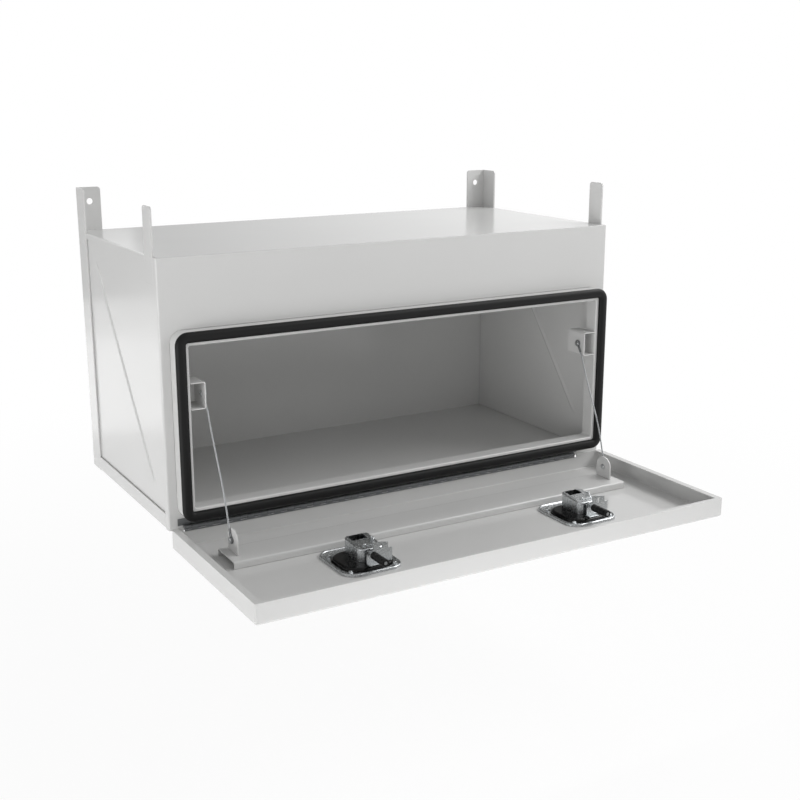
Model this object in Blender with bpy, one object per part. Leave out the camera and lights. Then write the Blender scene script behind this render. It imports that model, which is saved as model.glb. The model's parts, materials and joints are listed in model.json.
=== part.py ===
"""Underbody truck tool box with a drop-down door, modelled with the door open.

World axes: +X to the right, +Y to the back, +Z up. The origin is the centre of the underside.
Run it in Blender 4.5: blender --background --python part.py
"""
import math

import bmesh
import bpy
from mathutils import Vector

# Driving sizes of the box, in metres
box_width = 0.914
box_depth = 0.430
box_height = 0.460
sheet = 0.002
fit_gap = 0.0003
bend_radius = 0.0035
overrun = 0.004
weld = 0.000001

# Sides, top and floor
lid_lip = 0.011
floor_flange = 0.027
front_return = 0.015
crease_depth = 0.003
crease_half_width = 0.0055
crease_end_taper = 0.030
crease_top_from_back = 0.088
crease_top_from_top = 0.049
crease_foot_from_front = 0.066
crease_foot_from_floor = 0.060

# Rear corner posts and front hanger bars, which carry the box under the truck
post_leg = 0.045
post_thickness = 0.003
hanger_rise = 0.080
hanger_round = 0.006
hanger_bolt_radius = 0.006
hanger_bolt_from_side = 0.024
hanger_bolt_drop = 0.0265
bar_width = 0.038
bar_lap = 0.045

# Door opening: a raised channel collar that carries the rubber seal
collar_side_inset = 0.017
collar_bottom = 0.0205
header_height = 0.119
collar_width = 0.0225
collar_depth = 0.026
collar_tail = 0.002
collar_corner = 0.021
collar_inner_corner = 0.004
seal_width = 0.018
seal_height = 0.0076
seal_overhang = 0.001
seal_section_shares = ((0, 0), (0.02, 0.42), (0.16, 0.82), (0.5, 1), (0.84, 0.82), (0.98, 0.42), (1, 0))

# Continuous hinge
hinge_rise = 0.0041
hinge_inset = 0.0245
knuckle_radius = 0.0042
knuckle_pitch = 0.0127
knuckle_count = 65
knuckle_clearance = 0.0006
leaf_thickness = 0.0015
leaf_tail = 0.009
leaf_corner = 0.004
box_leaf_height = 0.0155
door_leaf_height = 0.024
curl_share = 0.86

# Door pan
door_overlap = 0.0142
door_side_gap = 0.001
door_rim = 0.0344
door_lip_side = 0.012
door_lip_end = 0.008
door_corner = 0.004
door_panel_gap = 0.0021
door_hinge_wall_drop = 0.0075
door_notch_margin = 0.0025

# Door stiffener channel and stay tabs, placed along the space between the hinge wall and the latches
stiffener_near_share = 0.4865
stiffener_far_share = 0.9527
tab_place_share = 0.6622
stiffener_height = 0.0126
stiffener_side_inset = 0.054
tab_thickness = 0.003
tab_width = 0.040
tab_pin_height = 0.0207

# Stay brackets, pins and cables
bracket_thickness = 0.002
bracket_reach = 0.0262
bracket_height = 0.046
bracket_drop = 0.0615
bracket_depth = 0.050
stay_pin_radius = 0.003
stay_pin_head_radius = 0.0055
stay_pin_head = 0.0025
stay_pin_from_front = 0.017
cable_radius = 0.0014
cable_point_spacing = 0.0068
eye_radius = 0.0065
eye_thickness = 0.0028
ferrule_radius = 0.0025
ferrule_length = 0.014

# The stay cable's route from its upper pin to its lower pin, as (Y, Z) places
cable_route = (
    (-0.2240, 0.2340),
    (-0.2390, 0.2070),
    (-0.2500, 0.1810),
    (-0.2690, 0.1410),
    (-0.2900, 0.0980),
    (-0.3040, 0.0620),
    (-0.3120, 0.0350),
    (-0.3220, 0.0080),
)

# Latches, seen from inside the door
latch_places = {"left": -0.2105, "right": 0.2350}
dish_width = 0.092
dish_length = 0.088
dish_corner = 0.030
dish_flange_x = 0.0075
dish_flange_front = 0.009
dish_flange_back = 0.022
latch_plate_corner = 0.024
dish_rise = 0.0079
dish_sheet = 0.0015
dish_edge = 0.0045
dish_draft = 0.002
gasket_thickness = 0.001
clamp_thickness = 0.0015
clamp_height = 0.0042
clamp_rim = 0.0045
clamp_rim_slope = 0.001
clamp_floor_height = 0.0026
clamp_hole_margin = 0.001
stud_from_dish = 0.0044
stud_radius = 0.002
stud_clearance = 0.0004
nut_radius = 0.0040
nut_height = 0.0032
stud_tip = 0.0008
housing_left = 0.015
housing_right = 0.030
housing_back = 0.036
housing_front = 0.022
housing_height = 0.0272
housing_fall = 0.0055
housing_sheet = 0.0015
housing_corner = 0.008
housing_nose = 0.012
housing_window_side = 0.006
housing_window_back = 0.0035
housing_window_width = 0.028
housing_window_length = 0.017
housing_window_corner = 0.002
spindle_radius = 0.005
spindle_square = 0.0065
crank_radius = 0.0155
crank_lift = 0.0111
crank_thickness = 0.003
crank_boss_radius = 0.0075
crank_end_radius = 0.0031
crank_pin_radius = 0.002
crank_pin_height = 0.006
hub_radius = 0.008
hub_slot_roof = 0.0025
grip_stem_width = 0.010
grip_stem_thickness = 0.007
grip_reach = 0.029
grip_bar_width = 0.046
grip_bar_depth = 0.009
grip_bar_thickness = 0.0078
grip_boss_radius = 0.0065
grip_boss_thickness = 0.009
grip_pivot_radius = 0.0015
bolt_axis_height = 0.0181
bolt_rod_radius = 0.003
bolt_stop_gap = 0.0006
bolt_sleeve_radius = 0.0065
bolt_sleeve_length = 0.040
bolt_tip_from_centre = 0.080
bolt_tip_gap = 0.0159
bolt_fork_clearance = 0.0009
bolt_fork_arm = 0.0032
bolt_fork_reach = 0.0172
bolt_tail_thickness = 0.003
bolt_tail_half_width = 0.005
guide_from_centre = 0.031
guide_sheet = 0.0015
guide_left = 0.0085
guide_height = 0.0225
guide_ear_left = 0.004
guide_ear_right = 0.031
guide_ear_height_left = 0.0362
guide_ear_height_right = 0.0322
guide_wing_right = 0.0385
guide_wing_height = 0.0217
guide_foot = 0.0085
guide_foot_right = 0.012
guide_slot_place = 0.018
guide_slot_rise = 0.008
guide_slot_half_width = 0.0025
guide_slot_half_height = 0.005
keeper_clearance = 0.0035
plug_radius = 0.004
plug_height = 0.004
key_slot_length = 0.005
key_slot_width = 0.0012
key_slot_depth = 0.0015

# Facet counts and angles
corner_steps = 4
bend_steps = 3
round_sides = 16
rivet_sides = 12
small_sides = 8
knuckle_steps = 6
cable_sides = 6
sharp_angle = math.radians(35)
crank_start = math.radians(45)

# Places that follow from the sizes
left = -box_width / 2
right = box_width / 2
front = -box_depth / 2
back = box_depth / 2
side_plane = post_thickness + fit_gap
inner_side = side_plane + sheet
hinge_y = front - fit_gap - knuckle_radius
hinge_z = hinge_rise
hinge_pin_radius = knuckle_radius - leaf_thickness - fit_gap
collar_top = box_height - header_height
collar_inner_top = collar_top - collar_width
collar_inner_side = collar_side_inset + collar_width
door_wall = hinge_y - knuckle_radius - fit_gap
door_far = hinge_y + hinge_z - collar_top - door_overlap
door_top = hinge_z + (front - hinge_y) - door_panel_gap
door_under = door_top - door_rim
door_floor = door_under + sheet
latch_y = hinge_y + hinge_z - collar_inner_top + bolt_tip_gap + bolt_tip_from_centre
latch_plate_side = dish_width / 2 + dish_flange_x
latch_plate_front = latch_y - dish_length / 2 - dish_flange_front
latch_plate_back = latch_y + dish_length / 2 + dish_flange_back
latch_space = door_wall - latch_plate_back
stiffener_near = door_wall - stiffener_near_share * latch_space
stiffener_far = door_wall - stiffener_far_share * latch_space
stiffener_top = door_floor + fit_gap + stiffener_height
tab_bottom = stiffener_top + fit_gap
tab_y = door_wall - tab_place_share * latch_space
tab_pin_z = tab_bottom + tab_pin_height
bracket_bottom = collar_inner_top - bracket_drop - bracket_height
bracket_face = collar_inner_side + fit_gap + bracket_reach
cable_plane = bracket_face + fit_gap + eye_thickness / 2
tab_outboard = cable_plane + eye_thickness / 2 + fit_gap
bracket_pin_y = front - collar_depth + stay_pin_from_front
bracket_pin_z = bracket_bottom + bracket_height / 2
dish_top = door_floor + dish_rise
dish_ceiling = dish_top - dish_sheet
flange_top = door_under - fit_gap - gasket_thickness - fit_gap
flange_under = flange_top - dish_sheet
hub_top = dish_ceiling - fit_gap
grip_pivot_z = hub_top - hub_slot_roof - fit_gap - grip_stem_thickness / 2
hub_under = grip_pivot_z - grip_stem_thickness / 2
bolt_z = dish_top + bolt_axis_height
crank_under = dish_top + crank_lift
crank_top = crank_under + crank_thickness
bolt_travel = 2 * crank_radius * math.sin(crank_start)
fork_y = crank_radius * math.sin(crank_start)


def clear_scene():
    """Remove what the startup scene holds."""
    for obj in list(bpy.data.objects):
        bpy.data.objects.remove(obj, do_unlink=True)


def finish_material(name, colour, roughness, metallic):
    """A plain Principled material for one piece."""
    look = bpy.data.materials.new(name)
    look.use_nodes = True
    shader = look.node_tree.nodes["Principled BSDF"]
    shader.inputs["Base Color"].default_value = (*colour, 1)
    shader.inputs["Roughness"].default_value = roughness
    shader.inputs["Metallic"].default_value = metallic
    look.diffuse_color = (*colour, 1)
    return look


FINISHES = {
    "white_paint": ((0.66, 0.66, 0.66), 0.45, 0.0),
    "black_rubber": ((0.012, 0.012, 0.012), 0.6, 0.0),
    "black_coating": ((0.02, 0.02, 0.02), 0.35, 0.0),
    "bright_zinc": ((0.6, 0.6, 0.6), 0.25, 1.0),
    "steel": ((0.45, 0.45, 0.45), 0.35, 1.0),
}


def axis_empty(name, place, parent=None):
    """An empty on a joint's axis, under the empty of the body that carries it."""
    empty = bpy.data.objects.new(name, None)
    bpy.context.scene.collection.objects.link(empty)
    empty.parent = parent
    empty.location = Vector(place) - (world_place(parent) if parent else Vector())
    return empty


def world_place(obj):
    """Where an empty sits in the world, from its own place and its parents'."""
    place = obj.location.copy()
    while obj.parent:
        obj = obj.parent
        place += obj.location
    return place


def make_object(name, bm, finish, axis=None):
    """Turn a bmesh in world places into an object, with its origin on the axis empty."""
    bmesh.ops.remove_doubles(bm, verts=bm.verts, dist=weld)
    bmesh.ops.recalc_face_normals(bm, faces=bm.faces)
    if axis:
        bmesh.ops.translate(bm, vec=-world_place(axis), verts=bm.verts)
    mesh = bpy.data.meshes.new(name)
    bm.to_mesh(mesh)
    bm.free()
    mesh.shade_smooth()
    mesh.set_sharp_from_angle(angle=sharp_angle)
    obj = bpy.data.objects.new(name, mesh)
    bpy.context.scene.collection.objects.link(obj)
    if finish:
        obj.data.materials.append(finish_material(name, *FINISHES[finish]))
    obj.parent = axis
    return obj


def combine(target, operation, bm, label):
    """Cut a helper shape from the target, or join it to the target."""
    helper = make_object(f"{target.name}_{label}", bm, None, target.parent)
    helper.hide_render = True
    helper.display_type = "WIRE"
    step = target.modifiers.new(label, "BOOLEAN")
    step.operation = operation
    step.object = helper


def cut(target, bm, label="cutter"):
    combine(target, "DIFFERENCE", bm, label)


def join(target, bm, label="joined"):
    combine(target, "UNION", bm, label)


def point(axis, a, b, along):
    """A place from two cross coordinates and one along the axis."""
    return {"x": (along, a, b), "y": (a, along, b), "z": (a, b, along)}[axis]


def prism(outline, axis, low, high, bm=None):
    """A closed outline extruded along one axis."""
    bm = bm or bmesh.new()
    corners = [bm.verts.new(point(axis, a, b, low)) for a, b in outline]
    face = bm.faces.new(corners)
    raised = bmesh.ops.extrude_face_region(bm, geom=[face])["geom"]
    moved = [item for item in raised if isinstance(item, bmesh.types.BMVert)]
    bmesh.ops.translate(bm, vec=Vector(point(axis, 0, 0, high - low)), verts=moved)
    return bm


def block(x_low, x_high, y_low, y_high, z_low, z_high, bm=None):
    """A plain rectangular block."""
    outline = ((x_low, y_low), (x_high, y_low), (x_high, y_high), (x_low, y_high))
    return prism(outline, "z", z_low, z_high, bm)


def circle(centre_a, centre_b, radius, sides=round_sides):
    """The outline of a circle."""
    turns = [(2 * step + 1) * math.pi / sides for step in range(sides)]
    return [(centre_a + radius * math.cos(t), centre_b + radius * math.sin(t)) for t in turns]


def rounded(a_low, a_high, b_low, b_high, radius, steps=corner_steps):
    """The outline of a rectangle with round corners: one radius, or four from the high corner round."""
    largest = min((a_high - a_low) / 2, (b_high - b_low) / 2)
    radii = [min(r, largest) for r in (radius if isinstance(radius, tuple) else (radius,) * 4)]
    corners = ((a_high, b_high, -1, -1), (a_low, b_high, 1, -1), (a_low, b_low, 1, 1), (a_high, b_low, -1, 1))
    outline = []
    for quarter, (corner, r) in enumerate(zip(corners, radii)):
        a, b, way_a, way_b = corner
        for step in range(steps + 1):
            turn = (quarter + step / steps) * math.pi / 2
            outline.append((a + way_a * r + r * math.cos(turn), b + way_b * r + r * math.sin(turn)))
    return outline


def folded_channel(a_low, a_high, base, tip, thickness, radius=bend_radius):
    """The outline of a U of folded sheet: its web lies at base and its two legs reach to tip."""
    way = 1 if tip > base else -1
    turns = [step / bend_steps * math.pi / 2 for step in range(bend_steps + 1)]

    def bend_low(r):
        centre = (a_low + radius, base + way * radius)
        return [(centre[0] - r * math.cos(t), centre[1] - way * r * math.sin(t)) for t in turns]

    def bend_high(r):
        centre = (a_high - radius, base + way * radius)
        return [(centre[0] + r * math.sin(t), centre[1] - way * r * math.cos(t)) for t in turns]

    outside = [(a_low, tip)] + bend_low(radius) + bend_high(radius) + [(a_high, tip)]
    inner = radius - thickness
    inside = [(a_high - thickness, tip)] + bend_high(inner)[::-1] + bend_low(inner)[::-1]
    return outside + inside + [(a_low + thickness, tip)]


def loft(rings, loop=False, bm=None):
    """Skin a row of rings that hold the same number of points, and cap its ends or close it on itself."""
    bm = bm or bmesh.new()
    made = [[bm.verts.new(place) for place in ring] for ring in rings]
    pairs = list(zip(made, made[1:]))
    if loop:
        pairs.append((made[-1], made[0]))
    for one, two in pairs:
        for here in range(len(one)):
            ahead = (here + 1) % len(one)
            bm.faces.new((one[here], one[ahead], two[ahead], two[here]))
    if not loop:
        bm.faces.new(made[0][::-1])
        bm.faces.new(made[-1])
    return bm


def round_edges(bm, wanted, radius, steps=corner_steps):
    """Round the edges whose middle and direction the wanted test accepts."""
    chosen = []
    for edge in bm.edges:
        one, two = (vert.co for vert in edge.verts)
        if wanted((one + two) / 2, (two - one).normalized()):
            chosen.append(edge)
    bmesh.ops.bevel(
        bm, geom=chosen, offset=radius, offset_type="OFFSET", segments=steps, profile=0.5, affect="EDGES"
    )


def near(one, two):
    return abs(one - two) < weld


def sides():
    """The two sides of the box, as a name and the direction from the middle to that side."""
    return (("left", -1), ("right", 1))


# Box shell


def make_tray(name, base, tip, rail_start):
    """The top or the floor: a plate whose long sides are folded along the box's sides."""
    outline = folded_channel(left, right, base, tip, sheet)
    tray = prism(outline, "y", front + sheet + fit_gap, back - post_thickness - fit_gap)
    tray = make_object(name, tray, "white_paint")
    notches = bmesh.new()
    low = min(base, tip) - overrun
    high = max(base, tip) + overrun
    rail_end = back - post_leg - fit_gap
    for _, way in sides():
        x_low, x_high = sorted((way * (right + overrun), way * (right - side_plane - fit_gap)))
        block(x_low, x_high, front - overrun, rail_start, low, high, notches)
        block(x_low, x_high, rail_end, back + overrun, low, high, notches)
    cut(tray, notches, "corner_notches")


def make_front_panel():
    """The front: a folded sheet with a short return on each side and the door opening."""
    outline = folded_channel(left, right, front, front + front_return, sheet)
    panel = make_object("front_panel", prism(outline, "z", 0, box_height), "white_paint")
    opening = rounded(
        left + collar_side_inset - fit_gap,
        right - collar_side_inset + fit_gap,
        collar_bottom - fit_gap,
        collar_top + fit_gap,
        collar_corner + fit_gap,
    )
    cut(panel, prism(opening, "y", front - overrun, front + sheet + overrun), "door_opening")


def make_back_panel():
    x_high = right - inner_side - fit_gap
    y_high = back - post_thickness - fit_gap
    z_low = sheet + fit_gap
    bm = block(-x_high, x_high, y_high - sheet, y_high, z_low, box_height - z_low)
    make_object("back_panel", bm, "white_paint")


def make_side_panel(side, way):
    """A side with one pressed crease that runs from the top at the back to the bottom at the front."""
    outer = way * (right - side_plane)
    bm = bmesh.new()
    y_low = front + sheet + fit_gap
    y_high = back - post_thickness - fit_gap
    z_low = sheet + fit_gap
    z_high = box_height - sheet - fit_gap
    corners = ((y_low, z_low), (y_high, z_low), (y_high, z_high), (y_low, z_high))
    bm.faces.new([bm.verts.new((outer, y, z)) for y, z in corners])
    foot = Vector((0, front + crease_foot_from_front, crease_foot_from_floor))
    head = Vector((0, back - crease_top_from_back, box_height - crease_top_from_top))
    along = (head - foot).normalized()
    across = Vector((0, -along.z, along.y))
    cuts = [(foot + across * shift, across) for shift in (-crease_half_width, 0, crease_half_width)]
    cuts += [(foot, along), (foot + along * crease_end_taper, along)]
    cuts += [(head, along), (head - along * crease_end_taper, along)]
    for place, normal in cuts:
        everything = bm.verts[:] + bm.edges[:] + bm.faces[:]
        bmesh.ops.bisect_plane(bm, geom=everything, dist=weld, plane_co=place, plane_no=normal)
    length = (head - foot).length
    for vert in bm.verts:
        offset = Vector((0, vert.co.y, vert.co.z)) - foot
        reach = offset.dot(along)
        inside = crease_end_taper - weld < reach < length - crease_end_taper + weld
        if inside and abs(offset.dot(across)) < weld:
            vert.co.x -= way * crease_depth
    raised = bmesh.ops.extrude_face_region(bm, geom=bm.faces[:])["geom"]
    moved = [item for item in raised if isinstance(item, bmesh.types.BMVert)]
    bmesh.ops.translate(bm, vec=Vector((-way * sheet, 0, 0)), verts=moved)
    make_object(f"side_panel_{side}", bm, "white_paint")


def make_rear_post(side, way):
    """An angle iron up the rear corner, which rises past the box and is bolted to the truck."""
    outer = way * right
    inner = outer - way * post_thickness
    reach = outer - way * post_leg
    outline = (
        (outer, back),
        (outer, back - post_leg),
        (inner, back - post_leg),
        (inner, back - post_thickness),
        (reach, back - post_thickness),
        (reach, back),
    )
    top = box_height + hanger_rise
    bm = prism(outline, "z", 0, top)

    def free_top_corner(middle, direction):
        at_back_leg_end = near(middle.x, reach) and near(abs(direction.y), 1)
        at_side_leg_end = near(middle.y, back - post_leg) and near(abs(direction.x), 1)
        return near(middle.z, top) and (at_back_leg_end or at_side_leg_end)

    round_edges(bm, free_top_corner, hanger_round)
    post = make_object(f"rear_post_{side}", bm, "white_paint")
    hole_x = outer - way * hanger_bolt_from_side
    hole = circle(hole_x, top - hanger_bolt_drop, hanger_bolt_radius)
    cut(post, prism(hole, "y", back - post_thickness - overrun, back + overrun), "bolt_hole")


def make_front_bar(side, way):
    """A flat bar on the outside of the side panel, which holds the box's front corner up."""
    x_low, x_high = sorted((way * right, way * (right - post_thickness)))
    y_low = front + front_return + fit_gap
    top = box_height + hanger_rise
    bm = block(x_low, x_high, y_low, y_low + bar_width, box_height - bar_lap, top)

    def top_corner(middle, direction):
        return near(middle.z, top) and near(abs(direction.x), 1)

    round_edges(bm, top_corner, hanger_round)
    make_object(f"front_bar_{side}", bm, "white_paint")


# Door opening


def opening_ring(inset, y, corner):
    """A ring of points that runs round the door opening, inset from the collar's outside."""
    outline = rounded(
        left + collar_side_inset + inset,
        right - collar_side_inset - inset,
        collar_bottom + inset,
        collar_top - inset,
        corner,
    )
    return [point("y", x, z, y) for x, z in outline]


def make_collar():
    """The raised rim round the opening: a channel of folded sheet, open to the back."""
    face = front - collar_depth
    tail = front + collar_tail
    section = (
        (0, tail),
        (0, face + sheet),
        (sheet / 2, face),
        (collar_width - sheet / 2, face),
        (collar_width, face + sheet / 2),
        (collar_width, tail),
        (collar_width - sheet, tail),
        (collar_width - sheet, face + sheet),
        (sheet, face + sheet),
        (sheet, tail),
    )
    rings = []
    for inset, y in section:
        corner = max(collar_corner - inset, collar_inner_corner)
        rings.append(opening_ring(inset, y, corner))
    collar = make_object("opening_collar", loft(rings, loop=True), "white_paint")
    half = bolt_sleeve_radius + keeper_clearance
    thrown_y = hinge_y + (bolt_z - hinge_z)
    notches = bmesh.new()
    for x in latch_places.values():
        z_low = collar_inner_top - overrun
        z_high = collar_inner_top + sheet + overrun
        block(x - half, x + half, thrown_y - half, tail + overrun, z_low, z_high, notches)
    cut(collar, notches, "bolt_keepers")


def make_seal():
    """The rubber seal on the collar's front face: a flat foot with a domed crown."""
    foot = front - collar_depth - fit_gap
    rings = []
    for width_share, height_share in seal_section_shares:
        inset = width_share * seal_width - seal_overhang
        corner = max(collar_corner - inset, collar_inner_corner)
        rings.append(opening_ring(inset, foot - height_share * seal_height, corner))
    make_object("door_seal", loft(rings, loop=True), "black_rubber")


# Continuous hinge


def knuckle_curl(leaf_way):
    """The section of one knuckle: the leaf's edge rolled round the pin."""
    start = 0 if leaf_way > 0 else math.pi
    steps = knuckle_steps
    turns = [start - step / steps * 2 * math.pi * curl_share for step in range(steps + 1)]
    bore = (knuckle_radius - leaf_thickness) / math.cos(math.pi * curl_share / steps)
    outside = [(hinge_y + knuckle_radius * math.cos(t), hinge_z + knuckle_radius * math.sin(t)) for t in turns]
    inside = [(hinge_y + bore * math.cos(t), hinge_z + bore * math.sin(t)) for t in turns[::-1]]
    root = hinge_z + leaf_way * knuckle_radius
    outer_plane = hinge_y + leaf_way * knuckle_radius
    inner_plane = outer_plane - leaf_way * leaf_thickness
    return [(outer_plane, root)] + outside + inside[:-1] + [(inner_plane, hinge_z), (inner_plane, root)]


def make_hinge_leaf(name, leaf_way, height, first, tail, finish, axis=None):
    """One leaf of the hinge: a strip that reaches past the knuckles by its tail, with every other knuckle."""
    start = left + hinge_inset
    end = start + knuckle_count * knuckle_pitch
    outer_plane = hinge_y + leaf_way * knuckle_radius
    y_low, y_high = sorted((outer_plane, outer_plane - leaf_way * leaf_thickness))
    root = hinge_z + leaf_way * (knuckle_radius + knuckle_clearance)
    tip = hinge_z + leaf_way * height
    z_low, z_high = sorted((root, tip))
    bm = block(start - tail, end + tail, y_low, y_high, z_low, z_high)

    def tip_corner(middle, direction):
        return near(middle.z, tip) and near(abs(direction.y), 1)

    round_edges(bm, tip_corner, leaf_corner)
    leaf = make_object(name, bm, finish, axis)
    curls = bmesh.new()
    section = knuckle_curl(leaf_way)
    lengthened = [(y, z + leaf_way * leaf_thickness if near(z, root - leaf_way * knuckle_clearance) else z)
                  for y, z in section]
    for number in range(first, knuckle_count, 2):
        x_low = start + number * knuckle_pitch + knuckle_clearance / 2
        prism(lengthened, "x", x_low, x_low + knuckle_pitch - knuckle_clearance, curls)
    join(leaf, curls, "knuckles")


def make_hinge(axis):
    make_hinge_leaf("hinge_leaf_box", 1, box_leaf_height, 0, leaf_tail, "steel")
    make_hinge_leaf("hinge_leaf_door", -1, door_leaf_height, 1, 0, "steel", axis)
    start = left + hinge_inset
    end = start + knuckle_count * knuckle_pitch
    pin = prism(circle(hinge_y, hinge_z, hinge_pin_radius, small_sides), "x", start, end)
    make_object("hinge_pin", pin, "steel")


# Door


def make_door_pan(axis):
    """The door: a shallow pan of folded sheet with lips turned in along three of its rims."""
    x_high = right - door_side_gap
    bm = block(-x_high, x_high, door_far, door_wall, door_under, door_top)

    def outer_fold(middle, direction):
        upright = near(abs(direction.z), 1)
        return upright or near(middle.z, door_under)

    round_edges(bm, outer_fold, door_corner)
    pan = make_object("door_pan", bm, "white_paint", axis)
    inside_x = x_high - sheet
    inside = block(-inside_x, inside_x, door_far + sheet, door_wall - sheet, door_floor, door_top - sheet)

    def inner_fold(middle, direction):
        upright = near(abs(direction.z), 1)
        return upright or near(middle.z, door_floor)

    round_edges(inside, inner_fold, door_corner - sheet, bend_steps)
    cut(pan, inside, "inside")
    mouth_x = x_high - door_lip_side
    roof = door_top + overrun
    under_lips = door_top - sheet - overrun
    cut(pan, block(-mouth_x, mouth_x, door_far + door_lip_end, door_wall - sheet, under_lips, roof), "mouth")
    notch_low = left + hinge_inset - door_notch_margin
    notch_high = left + hinge_inset + knuckle_count * knuckle_pitch + door_notch_margin
    wall_top = door_top - door_hinge_wall_drop
    notch = block(notch_low, notch_high, door_wall - sheet - overrun, door_wall + overrun, wall_top, roof)
    cut(pan, notch, "hinge_notch")
    openings = bmesh.new()
    for x in latch_places.values():
        half_x = dish_width / 2 + fit_gap
        half_y = dish_length / 2 + fit_gap
        outline = rounded(x - half_x, x + half_x, latch_y - half_y, latch_y + half_y, dish_corner + fit_gap)
        prism(outline, "z", door_under - overrun, door_floor + overrun, openings)
        for stud_x, stud_y in stud_places(x):
            hole = circle(stud_x, stud_y, stud_radius + stud_clearance, small_sides)
            prism(hole, "z", door_under - overrun, door_floor + overrun, openings)
    cut(pan, openings, "latch_openings")


def make_stiffener(axis):
    """A channel across the inside of the door, which keeps it flat and carries the stay tabs."""
    outline = folded_channel(stiffener_far, stiffener_near, stiffener_top, door_floor + fit_gap, sheet)
    x_high = right - stiffener_side_inset
    make_object("door_stiffener", prism(outline, "x", -x_high, x_high), "white_paint", axis)


def make_tab(side, way, axis):
    """An upright ear with a round top, which takes the lower end of the stay."""
    half = tab_width / 2
    turns = [step / round_sides * math.pi for step in range(round_sides + 1)]
    outline = [(tab_y + half * math.cos(t), tab_pin_z + half * math.sin(t)) for t in turns]
    outline += [(tab_y - half, tab_bottom), (tab_y + half, tab_bottom)]
    x_low, x_high = sorted((way * (right - tab_outboard), way * (right - tab_outboard - tab_thickness)))
    tab = make_object(f"stay_tab_{side}", prism(outline, "x", x_low, x_high), "white_paint", axis)
    hole = circle(tab_y, tab_pin_z, stay_pin_radius + fit_gap, round_sides)
    cut(tab, prism(hole, "x", x_low - overrun, x_high + overrun), "pin_hole")


# Stays


def make_bracket(side, way):
    """A channel on the collar's inner wall, with its web facing the middle of the opening."""
    web = way * (right - bracket_face)
    root = way * (right - collar_inner_side - fit_gap)
    bm = prism(
        [(x, z) for z, x in folded_channel(
            bracket_bottom, bracket_bottom + bracket_height, web, root, bracket_thickness)],
        "y", front - collar_depth, front - collar_depth + bracket_depth,
    )
    bracket = make_object(f"stay_bracket_{side}", bm, "white_paint")
    hole = circle(bracket_pin_y, bracket_pin_z, stay_pin_radius + fit_gap)
    x_low, x_high = sorted((web - overrun, web + overrun))
    cut(bracket, prism(hole, "x", x_low, x_high), "pin_hole")


def rivet(y, z, x_plain, x_head, way):
    """A pin with a head on each end, its shank running from one head to the other."""
    out = way * stay_pin_head
    shank = circle(y, z, stay_pin_radius, rivet_sides)
    head = circle(y, z, stay_pin_head_radius, rivet_sides)
    dome = circle(y, z, stay_pin_radius, rivet_sides)
    section = (
        (dome, x_plain - out),
        (head, x_plain - out / 2),
        (head, x_plain),
        (shank, x_plain),
        (shank, x_head),
        (head, x_head),
        (head, x_head + out / 2),
        (dome, x_head + out),
    )
    return loft([[point("x", a, b, x) for a, b in ring] for ring, x in section])


def make_stay_pins(side, way, axis):
    """The rivets that the stay's two eyes turn on."""
    web_out = right - bracket_face + bracket_thickness + fit_gap
    eye_in = right - cable_plane - eye_thickness / 2 - fit_gap
    bm = rivet(bracket_pin_y, bracket_pin_z, way * web_out, way * eye_in, -way)
    make_object(f"stay_pin_upper_{side}", bm, "bright_zinc")
    eye_out = right - cable_plane + eye_thickness / 2 + fit_gap
    tab_in = right - tab_outboard - tab_thickness - fit_gap
    bm = rivet(tab_y, tab_pin_z, way * eye_out, way * tab_in, -way)
    make_object(f"stay_pin_lower_{side}", bm, "bright_zinc", axis)


def smooth_route(points, spacing):
    """Places at an even spacing on a smooth curve through the given points."""
    padded = [points[0]] + list(points) + [points[-1]]
    fine = []
    for one, two, three, four in zip(padded, padded[1:], padded[2:], padded[3:]):
        for step in range(round_sides):
            t = step / round_sides
            place = (
                2 * two
                + (three - one) * t
                + (2 * one - 5 * two + 4 * three - four) * t ** 2
                + (3 * two - one - 3 * three + four) * t ** 3
            ) / 2
            fine.append(place)
    fine.append(points[-1])
    total = sum((two - one).length for one, two in zip(fine, fine[1:]))
    count = round(total / spacing)
    places = [fine[0]]
    walked = 0
    for one, two in zip(fine, fine[1:]):
        length = (two - one).length
        while len(places) < count and walked + length >= total * len(places) / count - weld:
            share = (total * len(places) / count - walked) / length
            places.append(one.lerp(two, min(share, 1)))
        walked += length
    places.append(fine[-1])
    return places


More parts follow.
